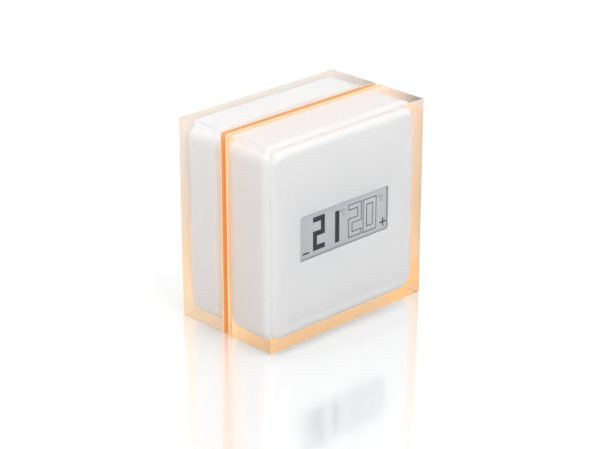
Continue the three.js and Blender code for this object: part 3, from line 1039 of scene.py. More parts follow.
def coiler() -> Grower:
    """The tree that winds a wire round every point, along the way across.

    Returns:
        The tree, ready to grow.
    """
    tree = Grower("wound wire", {"Turns": 4.0, "Start Radius": 0.004, "End Radius": 0.002, "Length": 0.004,
                                 "Wire": 0.0003})
    spiral = tree.node("GeometryNodeCurveSpiral", {
        "Resolution": 24, "Rotations": tree.given.outputs["Turns"],
        "Start Radius": tree.given.outputs["Start Radius"], "End Radius": tree.given.outputs["End Radius"],
        "Height": tree.given.outputs["Length"]})
    section = tree.node("GeometryNodeCurvePrimitiveCircle", {"Resolution": 8,
                                                             "Radius": tree.given.outputs["Wire"]})
    wire = tree.node("GeometryNodeCurveToMesh", {
        "Curve": spiral.outputs[0], "Profile Curve": section.outputs[0], "Fill Caps": True})
    spread = tree.node("GeometryNodeInstanceOnPoints", {"Points": tree.given.outputs["Geometry"],
                                                        "Instance": wire.outputs[0],
                                                        "Rotation": Axis.ACROSS.value})
    tree.close(spread.outputs["Instances"])
    return tree


def dots(spots: Iterable[Place]) -> Mesh:
    """A mesh of loose points at places in face coordinates.

    Args:
        spots: the places in millimetres.

    Returns:
        The mesh.
    """
    mesh = bpy.data.meshes.new("spots")
    mesh.from_pydata([placed(*spot) for spot in spots], [], [])
    return mesh


def polygons(shapes: Sequence[Sequence[Point]], depth: float, filled: bool) -> Mesh:
    """Flat shapes at one depth that face the front.

    Args:
        shapes: each shape's corners, counter-clockwise as seen from the front.
        depth: the depth that they lie at.
        filled: True for faces, False for outlines only.

    Returns:
        The mesh.
    """
    points: list[Vector] = []
    edges: list[tuple[int, int]] = []
    faces: list[list[int]] = []
    for shape in shapes:
        start = len(points)
        points += [placed(x, y, depth) for x, y in shape]
        loop = list(range(start, len(points)))
        if filled:
            faces.append(loop)
        else:
            edges += list(zip(loop, loop[1:] + loop[:1]))
    mesh = bpy.data.meshes.new("shapes")
    mesh.from_pydata(points, edges, faces)
    return mesh


# ---------------------------------------- placing pieces
class Bench:
    """Puts finished meshes in the scene, on their bodies and with their finishes."""

    def __init__(self, palette: Palette) -> None:
        """Keeps the materials and draws the trees.

        Args:
            palette: the materials.
        """
        self.palette = palette
        self.copier = copier()
        self.outliner = outliner()
        self.thickener = thickener()
        self.coiler = coiler()
        self.handled: set[str] = set()

    def piece(self, name: str, mesh: Mesh, finish: str, body: Body,
              replaces: Sequence[str] = ()) -> bpy.types.Object:
        """Adds a finished piece.

        Args:
            name: its name.
            mesh: its mesh, in the frame's metres.
            finish: the finish that it takes.
            body: the body that it rides on.
            replaces: the CAD nodes that it stands for.

        Returns:
            The object.
        """
        mesh.name = name
        mesh.materials.clear()
        mesh.materials.append(self.palette[finish])
        if finish == "acrylic":
            mesh.materials.append(self.palette["satin"])
            for face in mesh.polygons:
                outside = max(abs(face.center.x), abs(face.center.z)) > 0.0414
                face.material_index = int(outside and abs(face.normal.y) < 0.1)
        made = bpy.data.objects.new(name, mesh)
        bpy.context.scene.collection.objects.link(made)
        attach(made, body.value)
        if replaces:
            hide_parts(*replaces)
            self.handled.update(replaces)
        LOG.info("piece %s on %s: %d faces", name, body.value, len(mesh.polygons))
        return made

    def dress(self, finish: str, *nodes: str) -> None:
        """Gives CAD nodes that stay a finish.

        Args:
            finish: the finish's name.
            nodes: the CAD nodes' names.
        """
        for node in nodes:
            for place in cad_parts[node].material_slots:
                place.material = self.palette[finish]
            self.handled.add(node)
            LOG.info("node %s dressed in %s", node, finish)

    def ease(self, node: str, finish: str, body: Body, slot: Slot, width: float) -> bpy.types.Object:
        """Replaces a CAD node by its own shape with eased edges."""
        return self.piece(f"{node}_eased", softened(node, width), finish, body, [node])

    def repeat(self, name: str, master: Mesh, spots: Iterable[Place], finish: str, body: Body,
               replaces: Sequence[str] = ()) -> bpy.types.Object:
        """Repeats a master mesh, drawn at the frame's origin, at every spot.

        Args:
            name: the piece's name.
            master: the mesh to repeat.
            spots: the places in millimetres.
            finish: the finish that it takes.
            body: the body that it rides on.
            replaces: the CAD nodes that it stands for.

        Returns:
            The object.
        """
        source = bpy.data.objects.new(f"{name} master", master)
        bpy.context.scene.collection.objects.link(source)
        mesh = self.copier.grow(dots(spots), {"Master": source, "Finish": self.palette[finish]})
        bpy.data.objects.remove(source)
        return self.piece(name, mesh, finish, body, replaces)

    def unhandled(self) -> list[str]:
        """The CAD nodes that have no finish yet."""
        return sorted(set(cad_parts) - self.handled)


# ---------------------------------------- shared sizes
@dataclass(frozen=True)
class Block:
    """Sizes that both acrylic blocks share."""

    side: float = 83.0
    corner: float = 0.8
    arris: float = 0.22
    body: float = 76.4
    body_corner: float = 5.5
    body_edge: float = 3.4
    wall: float = 1.6
    bond: float = 0.2
    shift: float = 0.32
    skin: float = 0.01
    post_ease: float = 0.2
    post_root: float = 0.3

    @property
    def outside(self) -> float:
        """Width of the clear block, a skin's breadth inside the nominal side."""
        return self.side - 2 * self.skin

    @property
    def inner(self) -> float:
        """Width inside the white body."""
        return self.body - 2 * self.wall

    @property
    def cavity(self) -> float:
        """Width of the hollow in the acrylic, which lies just under the body's skin."""
        return self.body - 2 * self.bond


BLOCK = Block()


def hollow(depth: float, towards: float, inset: float = 0.0, shift: float = 0.0) -> list[Ring]:
    """Rings from the side to the face of a white body whose face is at a depth.

    Args:
        depth: the face's depth.
        towards: 1 for a face at the front, -1 for one at the back.
        inset: how far inside the body's own skin they lie.
        shift: how far the sides are moved to the right and down, while the rounded edge stays bonded.

    Returns:
        The rings from the side to the face.
    """
    edge = BLOCK.body_edge - inset
    face = depth - towards * inset
    side = square(BLOCK.body - 2 * inset, BLOCK.body_corner - inset, face - towards * edge)
    rings = turn(side, edge, towards)
    for index, share in enumerate((1.0, 0.6, 0.25)):
        rings[index] = replace(rings[index], x=shift * share, y=-shift * share)
    return rings


# ---------------------------------------- wall plate
@dataclass(frozen=True)
class WallPlate:
    """The plate that is screwed to the wall."""

    ease: float = 0.35

    def build(self, bench: Bench) -> None:
        """Makes the plate with eased edges."""
        bench.ease("wall_plate", "grey", Body.WALL, Slot.GREY, self.ease)


# ---------------------------------------- rear module
@dataclass(frozen=True)
class RearModule:
    """The relay module: a clear block round a white body, with films on both faces."""

    face: float = 23.96
    rim: float = 0.34
    dock_edge: float = 0.2
    body_back: float = 2.6
    body_face: float = 20.3
    dock: float = 24.0
    dock_corner: float = 2.0
    dock_lap: float = 0.1
    cover: float = 64.2
    cover_corner: float = 3.0
    cover_room: float = 0.8
    post: float = 8.0
    neck: float = 5.0
    hole: float = 2.2
    post_spot: float = 26.6
    post_step: float = 14.3
    neck_tip: float = 5.0
    screw_seat: float = 3.7
    screw_tip: float = 11.5

    def acrylic(self, bench: Bench) -> None:
        """The clear block: one skin that goes round the outside, through the dock and round the body.

        Args:
            bench: places the finished pieces.
        """
        side = BLOCK.outside
        rings = [square(side, BLOCK.corner, self.rim)]
        rings += turn(square(side, BLOCK.corner, self.face - BLOCK.arris), BLOCK.arris, 1, 4)
        mouth = square(self.dock, self.dock_corner, self.face - self.dock_edge)
        rings += list(reversed(turn(mouth, self.dock_edge, 1, 3, True)))
        rings.append(square(self.dock, self.dock_corner, self.body_face - BLOCK.bond))
        rings += list(reversed(hollow(self.body_face, 1, BLOCK.bond, BLOCK.shift)))
        rings += hollow(self.body_back, -1, BLOCK.bond, BLOCK.shift)
        rings.append(square(self.cover, self.cover_corner, self.body_back + BLOCK.bond))
        rings.append(square(self.cover, self.cover_corner, self.rim))
        bench.piece("rear_acrylic_block", skin(rings, Ends.JOINED), "acrylic", Body.RELAY,
                    ["rear_shell", "rear_clear_frame"])

    def white_body(self, bench: Bench) -> None:
        """The white body: a hollow pillow with openings for the cover and the dock, and four posts.

        Args:
            bench: places the finished pieces.
        """
        work = bmesh.new()
        dock, opening = self.dock - self.dock_lap, self.cover + self.cover_room
        inner_back = self.body_back + BLOCK.wall
        inner_face = self.body_face - BLOCK.wall
        rings = [square(opening, self.cover_corner, self.body_back)]
        rings += list(reversed(hollow(self.body_back, -1)))
        rings += hollow(self.body_face, 1)
        rings += [square(dock, self.dock_corner, depth) for depth in (self.body_face, inner_face)]
        rings += list(reversed(hollow(self.body_face, 1, BLOCK.wall)))
        rings += hollow(self.body_back, -1, BLOCK.wall)
        rings.append(square(opening, self.cover_corner, inner_back))
        add_rings(work, rings, Ends.JOINED)
        bore, neck, post, ease = self.hole / 2, self.neck / 2, self.post / 2, BLOCK.post_ease
        root = inner_face + BLOCK.post_root
        profile = [(bore, self.neck_tip), (neck - ease, self.neck_tip), (neck, self.neck_tip + ease),
                   (neck, self.post_step), (post - ease, self.post_step), (post, self.post_step + ease),
                   (post, root), (bore, root)]
        for x, y in corners(self.post_spot):
            add_lathe(work, profile, x, y)
        bench.piece("rear_white_body", to_mesh(work), "white", Body.RELAY, ["rear_body"])

    def fasteners(self, bench: Bench) -> None:
        """The four cover screws.

        Args:
            bench: places the finished pieces.
        """
        spots = at_depth(corners(self.post_spot), self.screw_seat)
        bench.repeat("cover_screws", screw_mesh(self.screw_tip - self.screw_seat), spots, "steel", Body.RELAY,
                     [f"cover_screw_{number}" for number in (1, 2, 3, 4)])

    def build(self, bench: Bench) -> None:
        """Makes every piece of the module.

        Args:
            bench: places the finished pieces.
        """
        self.acrylic(bench)
        self.white_body(bench)
        bench.dress("back_film", "rear_film")
        bench.dress("gap_film", "gap_film")
        bench.ease("rear_cover", "cover", Body.RELAY, Slot.WHITE, 0.25)
        self.fasteners(bench)
        bench.ease("dock_socket", "grey", Body.RELAY, Slot.GREY, 0.2)


def screw_mesh(length: float, head: float = 3.8, head_height: float = 1.0, shank: float = 1.6) -> Mesh:
    """A slotted pan screw on the depth axis, seated at depth 0 with its head behind.

    Args:
        length: how far the shank goes forward.
        head: the head's diameter.
        head_height: the head's height.
        shank: the shank's diameter.

    Returns:
        The mesh.
    """
    radius, crest = head / 2, shank / 2
    pitch, root, point, slot_width = 0.6, crest - 0.15, 0.5, 0.6
    profile = [(0.0, -head_height), (radius * 0.55, -head_height), (radius * 0.85, -head_height * 0.86),
               (radius, -head_height * 0.5), (radius, 0.0), (crest, 0.0)]
    for index in range(int((length - 2 * point) / pitch)):
        start = (index + 0.5) * pitch
        profile += [(root, start), (crest, start + pitch * 0.4), (crest, start + pitch * 0.6)]
    profile += [(root, length - point), (0.0, length)]
    body = bpy.data.objects.new("screw", lathe(profile))
    ends = [Ring(2 * head, slot_width, 0.05, depth) for depth in (-2 * head_height, -head_height / 2)]
    slot = bpy.data.objects.new("slot", skin(ends, Ends.CAPPED, 2))
    for made in (body, slot):
        bpy.context.scene.collection.objects.link(made)
    cut = body.modifiers.new("Slot", "BOOLEAN")
    cut.object = slot
    cut.operation = "DIFFERENCE"
    cut.solver = "EXACT"
    mesh = evaluated(body)
    bpy.data.objects.remove(slot)
    return mesh


# ---------------------------------------- electronics
@dataclass(frozen=True)
class RelayBoard:
    """The relay module's electronics, between its cover and the dock."""

    seat: float = 12.5
    board_face: float = 14.0
    tip: float = 5.1
    relay: Point = (14.0, 6.0)
    relay_pins: Point = (6.0, 7.5)
    transformer: Point = (-16.0, 4.0)
    transformer_pins: Point = (5.0, 4.6)
    winding: Point = (15.8, 9.4)
    core: Point = (11.4, 2.7)
    core_leg: float = 6.15
    yoke: Point = (11.4, 10.0)
    flange: Point = (16.0, 0.8)
    capacitor: Point = (-3.0, 24.6)
    can: Point = (3.3, 6.0)
    can_pins: float = 4.0
    terminals: Point = (-4.0, -20.9)
    pitch: float = 5.0
    well: Point = (-19.9, 7.7)
    radio: Point = (0.0, 20.1)
    radio_face: float = 16.5
    vent_pitch: float = 2.2
    button: float = 17.0

    def terminal_row(self, y: float) -> list[Point]:
        """The three poles of the terminal block, at a height."""
        return row((self.terminals[0] - self.pitch, y), (self.pitch, 0.0), 3)

    def transformer_piece(self, bench: Bench) -> None:
        """The transformer: a taped winding on a bobbin, inside a ferrite core.

        Args:
            bench: places the finished pieces.
        """
        x, y = self.transformer
        winding, core, bobbin = bmesh.new(), bmesh.new(), bmesh.new()
        add_block(winding, self.winding, (x, y), self.tip + 0.7, self.seat - 0.6, 0.9)
        for side in (-1, 1):
            add_block(core, self.core, (x, y + side * self.core_leg), self.tip, self.seat - 0.4, 0.25)
            flange = (x, y + side * self.transformer_pins[1])
            add_block(bobbin, self.flange, flange, self.tip + 0.6, self.seat, 0.15)
        add_block(core, self.yoke, (x, y), self.tip, self.tip + 0.9, 0.2)
        bench.piece("transformer_winding", to_mesh(winding), "winding", Body.RELAY,
                    ["transformer"])
        bench.piece("transformer_core", to_mesh(core), "chip", Body.RELAY)
        bench.piece("transformer_bobbin", to_mesh(bobbin), "grey", Body.RELAY)

    def capacitor_piece(self, bench: Bench) -> None:
        """The capacitor, which lies across: its sleeve, rolled in at the groove, and its bare end.

        Args:
            bench: places the finished pieces.
        """
        x, y = self.capacitor
        radius, half = self.can
        depth = self.seat - radius
        left, right = x - half, x + half
        groove = [(radius, right - 1.8), (radius - 0.3, right - 1.5), (radius - 0.3, right - 1.2),
                  (radius, right - 0.9)]
        sleeve = [(radius - 0.6, left), (radius - 0.2, left), (radius, left + 0.2), *groove,
                  (radius, right - 0.2), (radius - 0.2, right), (radius - 0.6, right)]
        bench.piece("capacitor_sleeve", lathe(sleeve, y=y, axis=Axis.ACROSS, depth=depth), "sleeve",
                    Body.RELAY, ["capacitor"])
        inner, low, high = radius - 0.5, left + 0.15, right - 0.25
        can = [(0.0, low), (inner, low), (inner, high), (0.0, high)]
        bench.piece("capacitor_can", lathe(can, y=y, axis=Axis.ACROSS, depth=depth), "steel", Body.RELAY)

    def terminal_screws(self, bench: Bench) -> None:
        """The clamp screws in the terminal block's wells.

        Args:
            bench: places the finished pieces.
        """
        height, seat = self.well
        bench.repeat("terminal_screws", screw_mesh(1.3, 3.2, 2.0), at_depth(self.terminal_row(height), seat),
                     "steel", Body.RELAY, [f"terminal_screw_{number}" for number in (1, 2, 3)])

    def leads(self, bench: Bench) -> None:
        """The parts' leads, through the board to their solder cones.

        Args:
            bench: places the finished pieces.
        """
        (rx, ry), (dx, dy) = self.relay, self.relay_pins
        spots = [(rx + x, ry + y) for x in (-dx, dx) for y in (-dy, dy)] + [(rx, ry + dy)]
        (tx, ty), (dx, dy) = self.transformer, self.transformer_pins
        spots += [(tx + x, ty + y) for x in (-dx, 0.0, dx) for y in (-dy, dy)]
        spots += [(self.capacitor[0] + x, self.capacitor[1]) for x in (-self.can_pins, self.can_pins)]
        spots += self.terminal_row(self.terminals[1])
        wire, pad = 0.35, 0.9
        lead = [(0.0, -1.8), (wire, -1.8), (wire, -1.2), (pad, -1.2), (pad, -1.1), (wire, -1.1), (wire, 0.0),
                (pad, 0.0), (0.6, 0.2), (0.4, 0.5), (wire, 0.7), (0.0, 0.75)]
        bench.repeat("relay_board_leads", lathe(lead, sides=12), at_depth(spots, self.board_face), "steel",
                     Body.RELAY)

    def vents(self, bench: Bench) -> None:
        """The holes in the radio's can.

        Args:
            bench: places the finished pieces.
        """
        x, y = self.radio
        vent = lathe([(0.0, -0.05), (0.35, -0.05), (0.35, 0.01), (0.0, 0.01)], sides=12)
        grid = [(x + self.vent_pitch * column, y + self.vent_pitch * line)
                for column in range(-3, 4) for line in range(-2, 3)]
        bench.repeat("rear_radio_vents", vent, at_depth(grid, self.radio_face), "chip", Body.RELAY)

    def button_piece(self, bench: Bench) -> None:
        """The pairing button: a stem with a collar that keeps it in.

        Args:
            bench: places the finished pieces.
        """
        stem, collar = 2.0, 3.1
        button = [(0.0, 3.0), (stem - 0.3, 3.0), (stem, 3.3), (stem, 5.0), (collar - 0.2, 5.0), (collar, 5.2),
                  (collar, 5.8), (collar - 0.2, 6.0), (stem, 6.0), (stem, 8.3), (stem - 0.1, 8.4), (0.0, 8.4)]
        bench.piece("pairing_button_turned", lathe(button, self.button, self.terminals[1]), "grey",
                    Body.BUTTON, ["pairing_button"])

    def build(self, bench: Bench) -> None:
        """Makes every part on the board.

        Args:
            bench: places the finished pieces.
        """
        bench.dress("board", "relay_board")
        bench.ease("relay", "relay", Body.RELAY, Slot.RELAY, 0.5)
        self.transformer_piece(bench)
        self.capacitor_piece(bench)
        bench.ease("terminal_block", "terminal", Body.RELAY, Slot.TERMINAL, 0.15)
        self.terminal_screws(bench)
        bench.ease("rear_radio", "steel", Body.RELAY, Slot.STEEL, 0.2)
        bench.ease("pairing_switch", "chip", Body.RELAY, Slot.CHIP, 0.2)
        self.leads(bench)
        self.vents(bench)
        self.button_piece(bench)


@dataclass(frozen=True)
class MainBoard:
    """The display module's electronics, on the back of its board."""

    back: float = 43.1
    screw_spot: float = 30.4
    screw_seat: float = 42.8
    screw_tip: float = 46.1
    chip_pitch: float = 3.1
    column_pitch: float = 2.4

    def small_parts(self, bench: Bench) -> None:
        """Rows of chip resistors and capacitors, with their solder ends.

        Args:
            bench: places the finished pieces.
        """
        rows = row((-26.0, 25.6), (self.chip_pitch, 0.0), 17) + row((-2.0, 12.0), (0.0, self.column_pitch), 5)
        spots = at_depth(rows + row((-24.0, -10.0), (self.chip_pitch, 0.0), 16), self.back)
        chip, ends = bmesh.new(), bmesh.new()
        add_block(chip, (0.9, 0.8), (0.0, 0.0), -0.45, 0.02, 0.06)
        for side in (-1, 1):
            add_block(ends, (0.35, 0.86), (side * 0.6, 0.0), -0.48, 0.02, 0.05)
        bench.repeat("chip_parts", to_mesh(chip), spots, "chip", Body.COVER)
        bench.repeat("chip_part_ends", to_mesh(ends), spots, "steel", Body.COVER)

    def build(self, bench: Bench) -> None:
        """Makes every part on the board.

        Args:
            bench: places the finished pieces.
        """
        bench.dress("board", "main_board")
        bench.ease("processor", "chip", Body.COVER, Slot.CHIP, 0.12)
        bench.ease("front_radio", "steel", Body.COVER, Slot.STEEL, 0.2)
        bench.ease("temperature_sensor", "chip", Body.COVER, Slot.CHIP, 0.1)
        bench.ease("left_switch", "chip", Body.COVER, Slot.CHIP, 0.15)
        bench.ease("right_switch", "chip", Body.COVER, Slot.CHIP, 0.15)
        bench.ease("left_switch_stem", "grey", Body.LEFT_STEM, Slot.GREY, 0.2)
        bench.ease("right_switch_stem", "grey", Body.RIGHT_STEM, Slot.GREY, 0.2)
        self.small_parts(bench)
        spots = at_depth(corners(self.screw_spot), self.screw_seat)
        bench.repeat("board_screws", screw_mesh(self.screw_tip - self.screw_seat), spots, "steel", Body.COVER,
                     [f"board_screw_{number}" for number in (1, 2, 3, 4)])


# ---------------------------------------- chassis
@dataclass(frozen=True)
class Chassis:
    """The frame that plugs into the rear block and carries three cells and the cover's pivot pins."""

    rows: tuple[float, ...] = (-25.75, -14.45, -3.15)
    cell_depth: float = 34.55
    reach: float = 22.25
    contact: float = 22.55
    pin: Point = (31.3, 36.4)
    pin_depth: float = 32.0

    def cells(self, bench: Bench) -> None:
        """The three cells, which face alternate ways: printed sleeves over steel cans.

        Args:
            bench: places the finished pieces.
        """
        sleeves, cans = bmesh.new(), bmesh.new()
        end, shoulder = self.reach, self.reach - 1.0
        sleeve = [(3.9, 0.15 - end), (4.4, -end), (5.0, -end), (5.25, 0.25 - end), (5.25, shoulder - 0.25),
                  (5.0, shoulder), (4.1, shoulder), (3.9, shoulder - 0.15)]
        can = [(0.0, 0.15 - end), (3.2, 0.15 - end), (3.4, 0.25 - end), (4.0, 0.25 - end),
               (4.0, shoulder - 0.3), (2.7, shoulder - 0.3), (2.2, shoulder - 0.1), (1.9, shoulder + 0.1),
               (1.9, end - 0.15), (1.75, end), (0.0, end)]
        for index, y in enumerate(self.rows):
            way = 1 if index % 2 == 0 else -1
            for work, profile in ((sleeves, sleeve), (cans, can)):
                add_lathe(work, [(radius, way * along) for radius, along in profile], 0.0, y, Axis.ACROSS,
                          self.cell_depth, 48)
        bench.piece("cell_sleeves", to_mesh(sleeves), "sleeve", Body.CHASSIS,
                    ["battery_1", "battery_2", "battery_3"])
        bench.piece("cell_cans", to_mesh(cans), "steel", Body.CHASSIS)

    def springs(self, bench: Bench) -> None:
        """The flat coil at each cell's negative end, wound on its contact plate.

        Args:
            bench: places the finished pieces.
        """
        spots = []
        for index, y in enumerate(self.rows):
            side = -1 if index % 2 == 0 else 1
            spots.append((side * (self.contact + self.reach) / 2 - 0.1, y, self.cell_depth))
        mesh = bench.coiler.grow(dots(spots), {
            "Turns": 3.0, "Start Radius": 3.4 * MM, "End Radius": 1.2 * MM, "Length": 0.2 * MM,
            "Wire": 0.12 * MM, "Finish": bench.palette["steel"]})
        bench.piece("cell_springs", mesh, "steel", Body.CHASSIS)

    def pins(self, bench: Bench) -> None:
        """The two upright pivot pins.

        Args:
            bench: places the finished pieces.
        """
        inner, outer = self.pin
        for side, word in ((1, "top"), (-1, "bottom")):
            profile = [(0.0, side * inner), (0.85, side * inner), (1.0, side * (inner + 0.15)),
                       (1.0, side * (outer - 0.3)), (0.75, side * outer), (0.0, side * outer)]
            mesh = lathe(profile, axis=Axis.UPRIGHT, depth=self.pin_depth, sides=24)
            bench.piece(f"pivot_pin_{word}_turned", mesh, "steel", Body.CHASSIS,
                        [f"pivot_pin_{word}"])

    def build(self, bench: Bench) -> None:
        """Makes every piece of the chassis.

        Args:
            bench: places the finished pieces.
        """
        bench.ease("chassis_frame", "grey", Body.CHASSIS, Slot.GREY, 0.2)
        bench.dress("gap_film", "chassis_film")
        self.cells(bench)
        for side in ("left", "right"):
            bench.ease(f"battery_contacts_{side}", "steel", Body.CHASSIS, Slot.STEEL, 0.08)
        self.springs(bench)
        self.pins(bench)


# ---------------------------------------- front module
def figure_two(left: float, low: float, width: float, height: float, stroke: float) -> list[Point]:
    """The outline of a square-cornered 2, counter-clockwise.

    Args:
        left: its left side.
        low: its foot.
        width: its width.
        height: its height.
        stroke: the width of its strokes.

    Returns:
        Its corners.
    """
    right, top = left + width, low + height
    under, over = low + (height - stroke) / 2, low + (height + stroke) / 2
    return [(left, low), (right, low), (right, low + stroke), (left + stroke, low + stroke),
            (left + stroke, under), (right, under), (right, top), (left, top), (left, top - stroke),
            (right - stroke, top - stroke), (right - stroke, over), (left, over)]


def bar(left: float, low: float, right: float, top: float) -> list[Point]:
    """The outline of a plain bar, counter-clockwise."""
    return [(left, low), (right, low), (right, top), (left, top)]


def plus(x: float, y: float, reach: float, stroke: float) -> list[Point]:
    """The outline of a plus sign, counter-clockwise.

    Args:
        x: its middle across.
        y: its middle upwards.
        reach: how far its arms reach.
        stroke: the width of its strokes.

    Returns:
        Its corners.
    """
    half = stroke / 2
    return [(x - half, y - reach), (x + half, y - reach), (x + half, y - half), (x + reach, y - half),
            (x + reach, y + half), (x + half, y + half), (x + half, y + reach), (x - half, y + reach),
            (x - half, y + half), (x - reach, y + half), (x - reach, y - half), (x - half, y - half)]


@dataclass(frozen=True)
class Display:
    """The display behind the cover's window, with its numerals and signs as raised shapes."""

    window: Point = (47.8, 18.3)
    window_corner: float = 1.1
    panel: Point = (52.2, 22.7)
    panel_back: float = 44.6
    panel_face: float = 45.7
    relief: float = 0.06
    measured_two: tuple[float, ...] = (-16.5, -6.9, 6.3, 13.8, 2.1)
    measured_one: tuple[float, ...] = (-4.7, -7.0, -2.4, 6.0)
    minus: tuple[float, ...] = (-21.9, -7.1, -18.6, -6.4)
    plus: tuple[float, ...] = (21.6, -5.8, 1.75, 0.6)
    set_two: tuple[float, ...] = (2.6, -7.0, 7.0, 13.4, 2.0)
    set_nought: tuple[float, ...] = (10.6, -7.2, 17.8, 6.3)
    nought_hole: tuple[float, ...] = (12.6, -5.0, 15.8, 4.1)
    left_mark: Point = (-1.6, 5.0)
    right_mark: Point = (19.2, 5.1)
    mark_low: float = 3.4

    @property
    def depth(self) -> float:
        """The depth that the shapes stand on."""
        return self.panel_face - self.relief

    def cell(self, bench: Bench) -> None:
        """The display's own cell.

        Args:
            bench: places the finished pieces.
        """
        work = bmesh.new()
        back = Ring(*self.panel, 0.4, self.panel_back + 0.1)
        front = Ring(*self.panel, 0.4, self.depth - 0.12)
        add_rings(work, list(reversed(turn(back, 0.1, -1, 2))) + turn(front, 0.12, 1, 2), Ends.CAPPED, 4)
        bench.piece("display_cell", to_mesh(work), "crystal", Body.COVER, ["display_panel"])

    def marks(self) -> list[list[Point]]:
        """A small square and a small block beside each of the two values.

        Returns:
            Their outlines.
        """
        made = []
        for x, y in (self.left_mark, self.right_mark):
            made += [bar(x, y, x + 0.7, y + 0.7), bar(x + 1.0, self.mark_low, x + 2.2, y + 0.7)]
        return made

    def build(self, bench: Bench) -> None:
        """Makes the cell, the shapes on it and the grey ring of painted shade round it.

        Args:
            bench: places the finished pieces.
        """
        self.cell(bench)
        solid = [figure_two(*self.measured_two), bar(*self.measured_one), bar(*self.minus), plus(*self.plus)]
        figures = bench.thickener.grow(polygons(solid, self.depth, True), {
            "Thickness": self.relief * MM, "Finish": bench.palette["ink"]})
        bench.piece("display_figures", figures, "ink", Body.COVER)
        drawn = [figure_two(*self.set_two), bar(*self.set_nought), bar(*self.nought_hole)]
        for name, shapes, finish, width, thickness in (("display_outlines", drawn, "line", 0.48, 0.08),
                                                       ("display_marks", self.marks(), "ghost", 0.24, 0.06)):
            lines = bench.outliner.grow(polygons(shapes, self.depth, False), {
                "Line Width": width * MM, "Thickness": thickness * MM, "Finish": bench.palette[finish]})
            bench.piece(name, lines, finish, Body.COVER)
        # A grey ring of painted shade along the window's edge.
        wide, high = self.window
        outer, inner, back, face = 0.4, -0.5, self.depth, self.depth + 0.03
        rings = [Ring(wide + grow, high + grow, self.window_corner + grow / 2, depth)
                 for grow, depth in ((outer, back), (outer, face), (inner, face), (inner, back))]
        bench.piece("display_border", skin(rings, Ends.JOINED, 6), "painted_edge_shade", Body.COVER)


@dataclass(frozen=True)
class Lug:
    """A pivot lug of the cover: a pad on the inner wall with an upright bore."""

    root: float = 36.8
    tip: float = 34.2
    depth: float = 32.0
    half_width: float = 4.0
    half_depth: float = 2.4
    bore: float = 1.3
    sides: int = 16

    def add(self, work: Work, side: int) -> None:
        """Adds the lug to the worked geometry.

        Args:
            work: the geometry that it is added to.
            side: 1 for the upper lug, -1 for the lower.
        """
        wide, deep = self.half_width, self.half_depth
        pad = [(-wide, -deep), (wide, -deep), (wide, deep), (-wide, deep)]
        rows = []
        for y in (side * self.root, side * self.tip):
            bore = []
            for index in range(self.sides):
                angle = 2 * math.pi * index / self.sides - 3 * math.pi / 4
                x, depth = self.bore * math.cos(angle), self.depth + self.bore * math.sin(angle)
                bore.append(work.verts.new(placed(x, y, depth)))
            rim = [work.verts.new(placed(x, y, self.depth + out)) for x, out in pad]
            rows.append((bore, rim))
            for index in range(4):
                first = index * self.sides // 4
                quarter = [bore[(first + step) % self.sides] for step in range(self.sides // 4 + 1)]
                work.faces.new([rim[index], rim[(index + 1) % 4], *reversed(quarter)])
        for first, second in zip(*rows):
            for index in range(len(first)):
                after = (index + 1) % len(first)
                work.faces.new((first[index], first[after], second[after], second[index]))


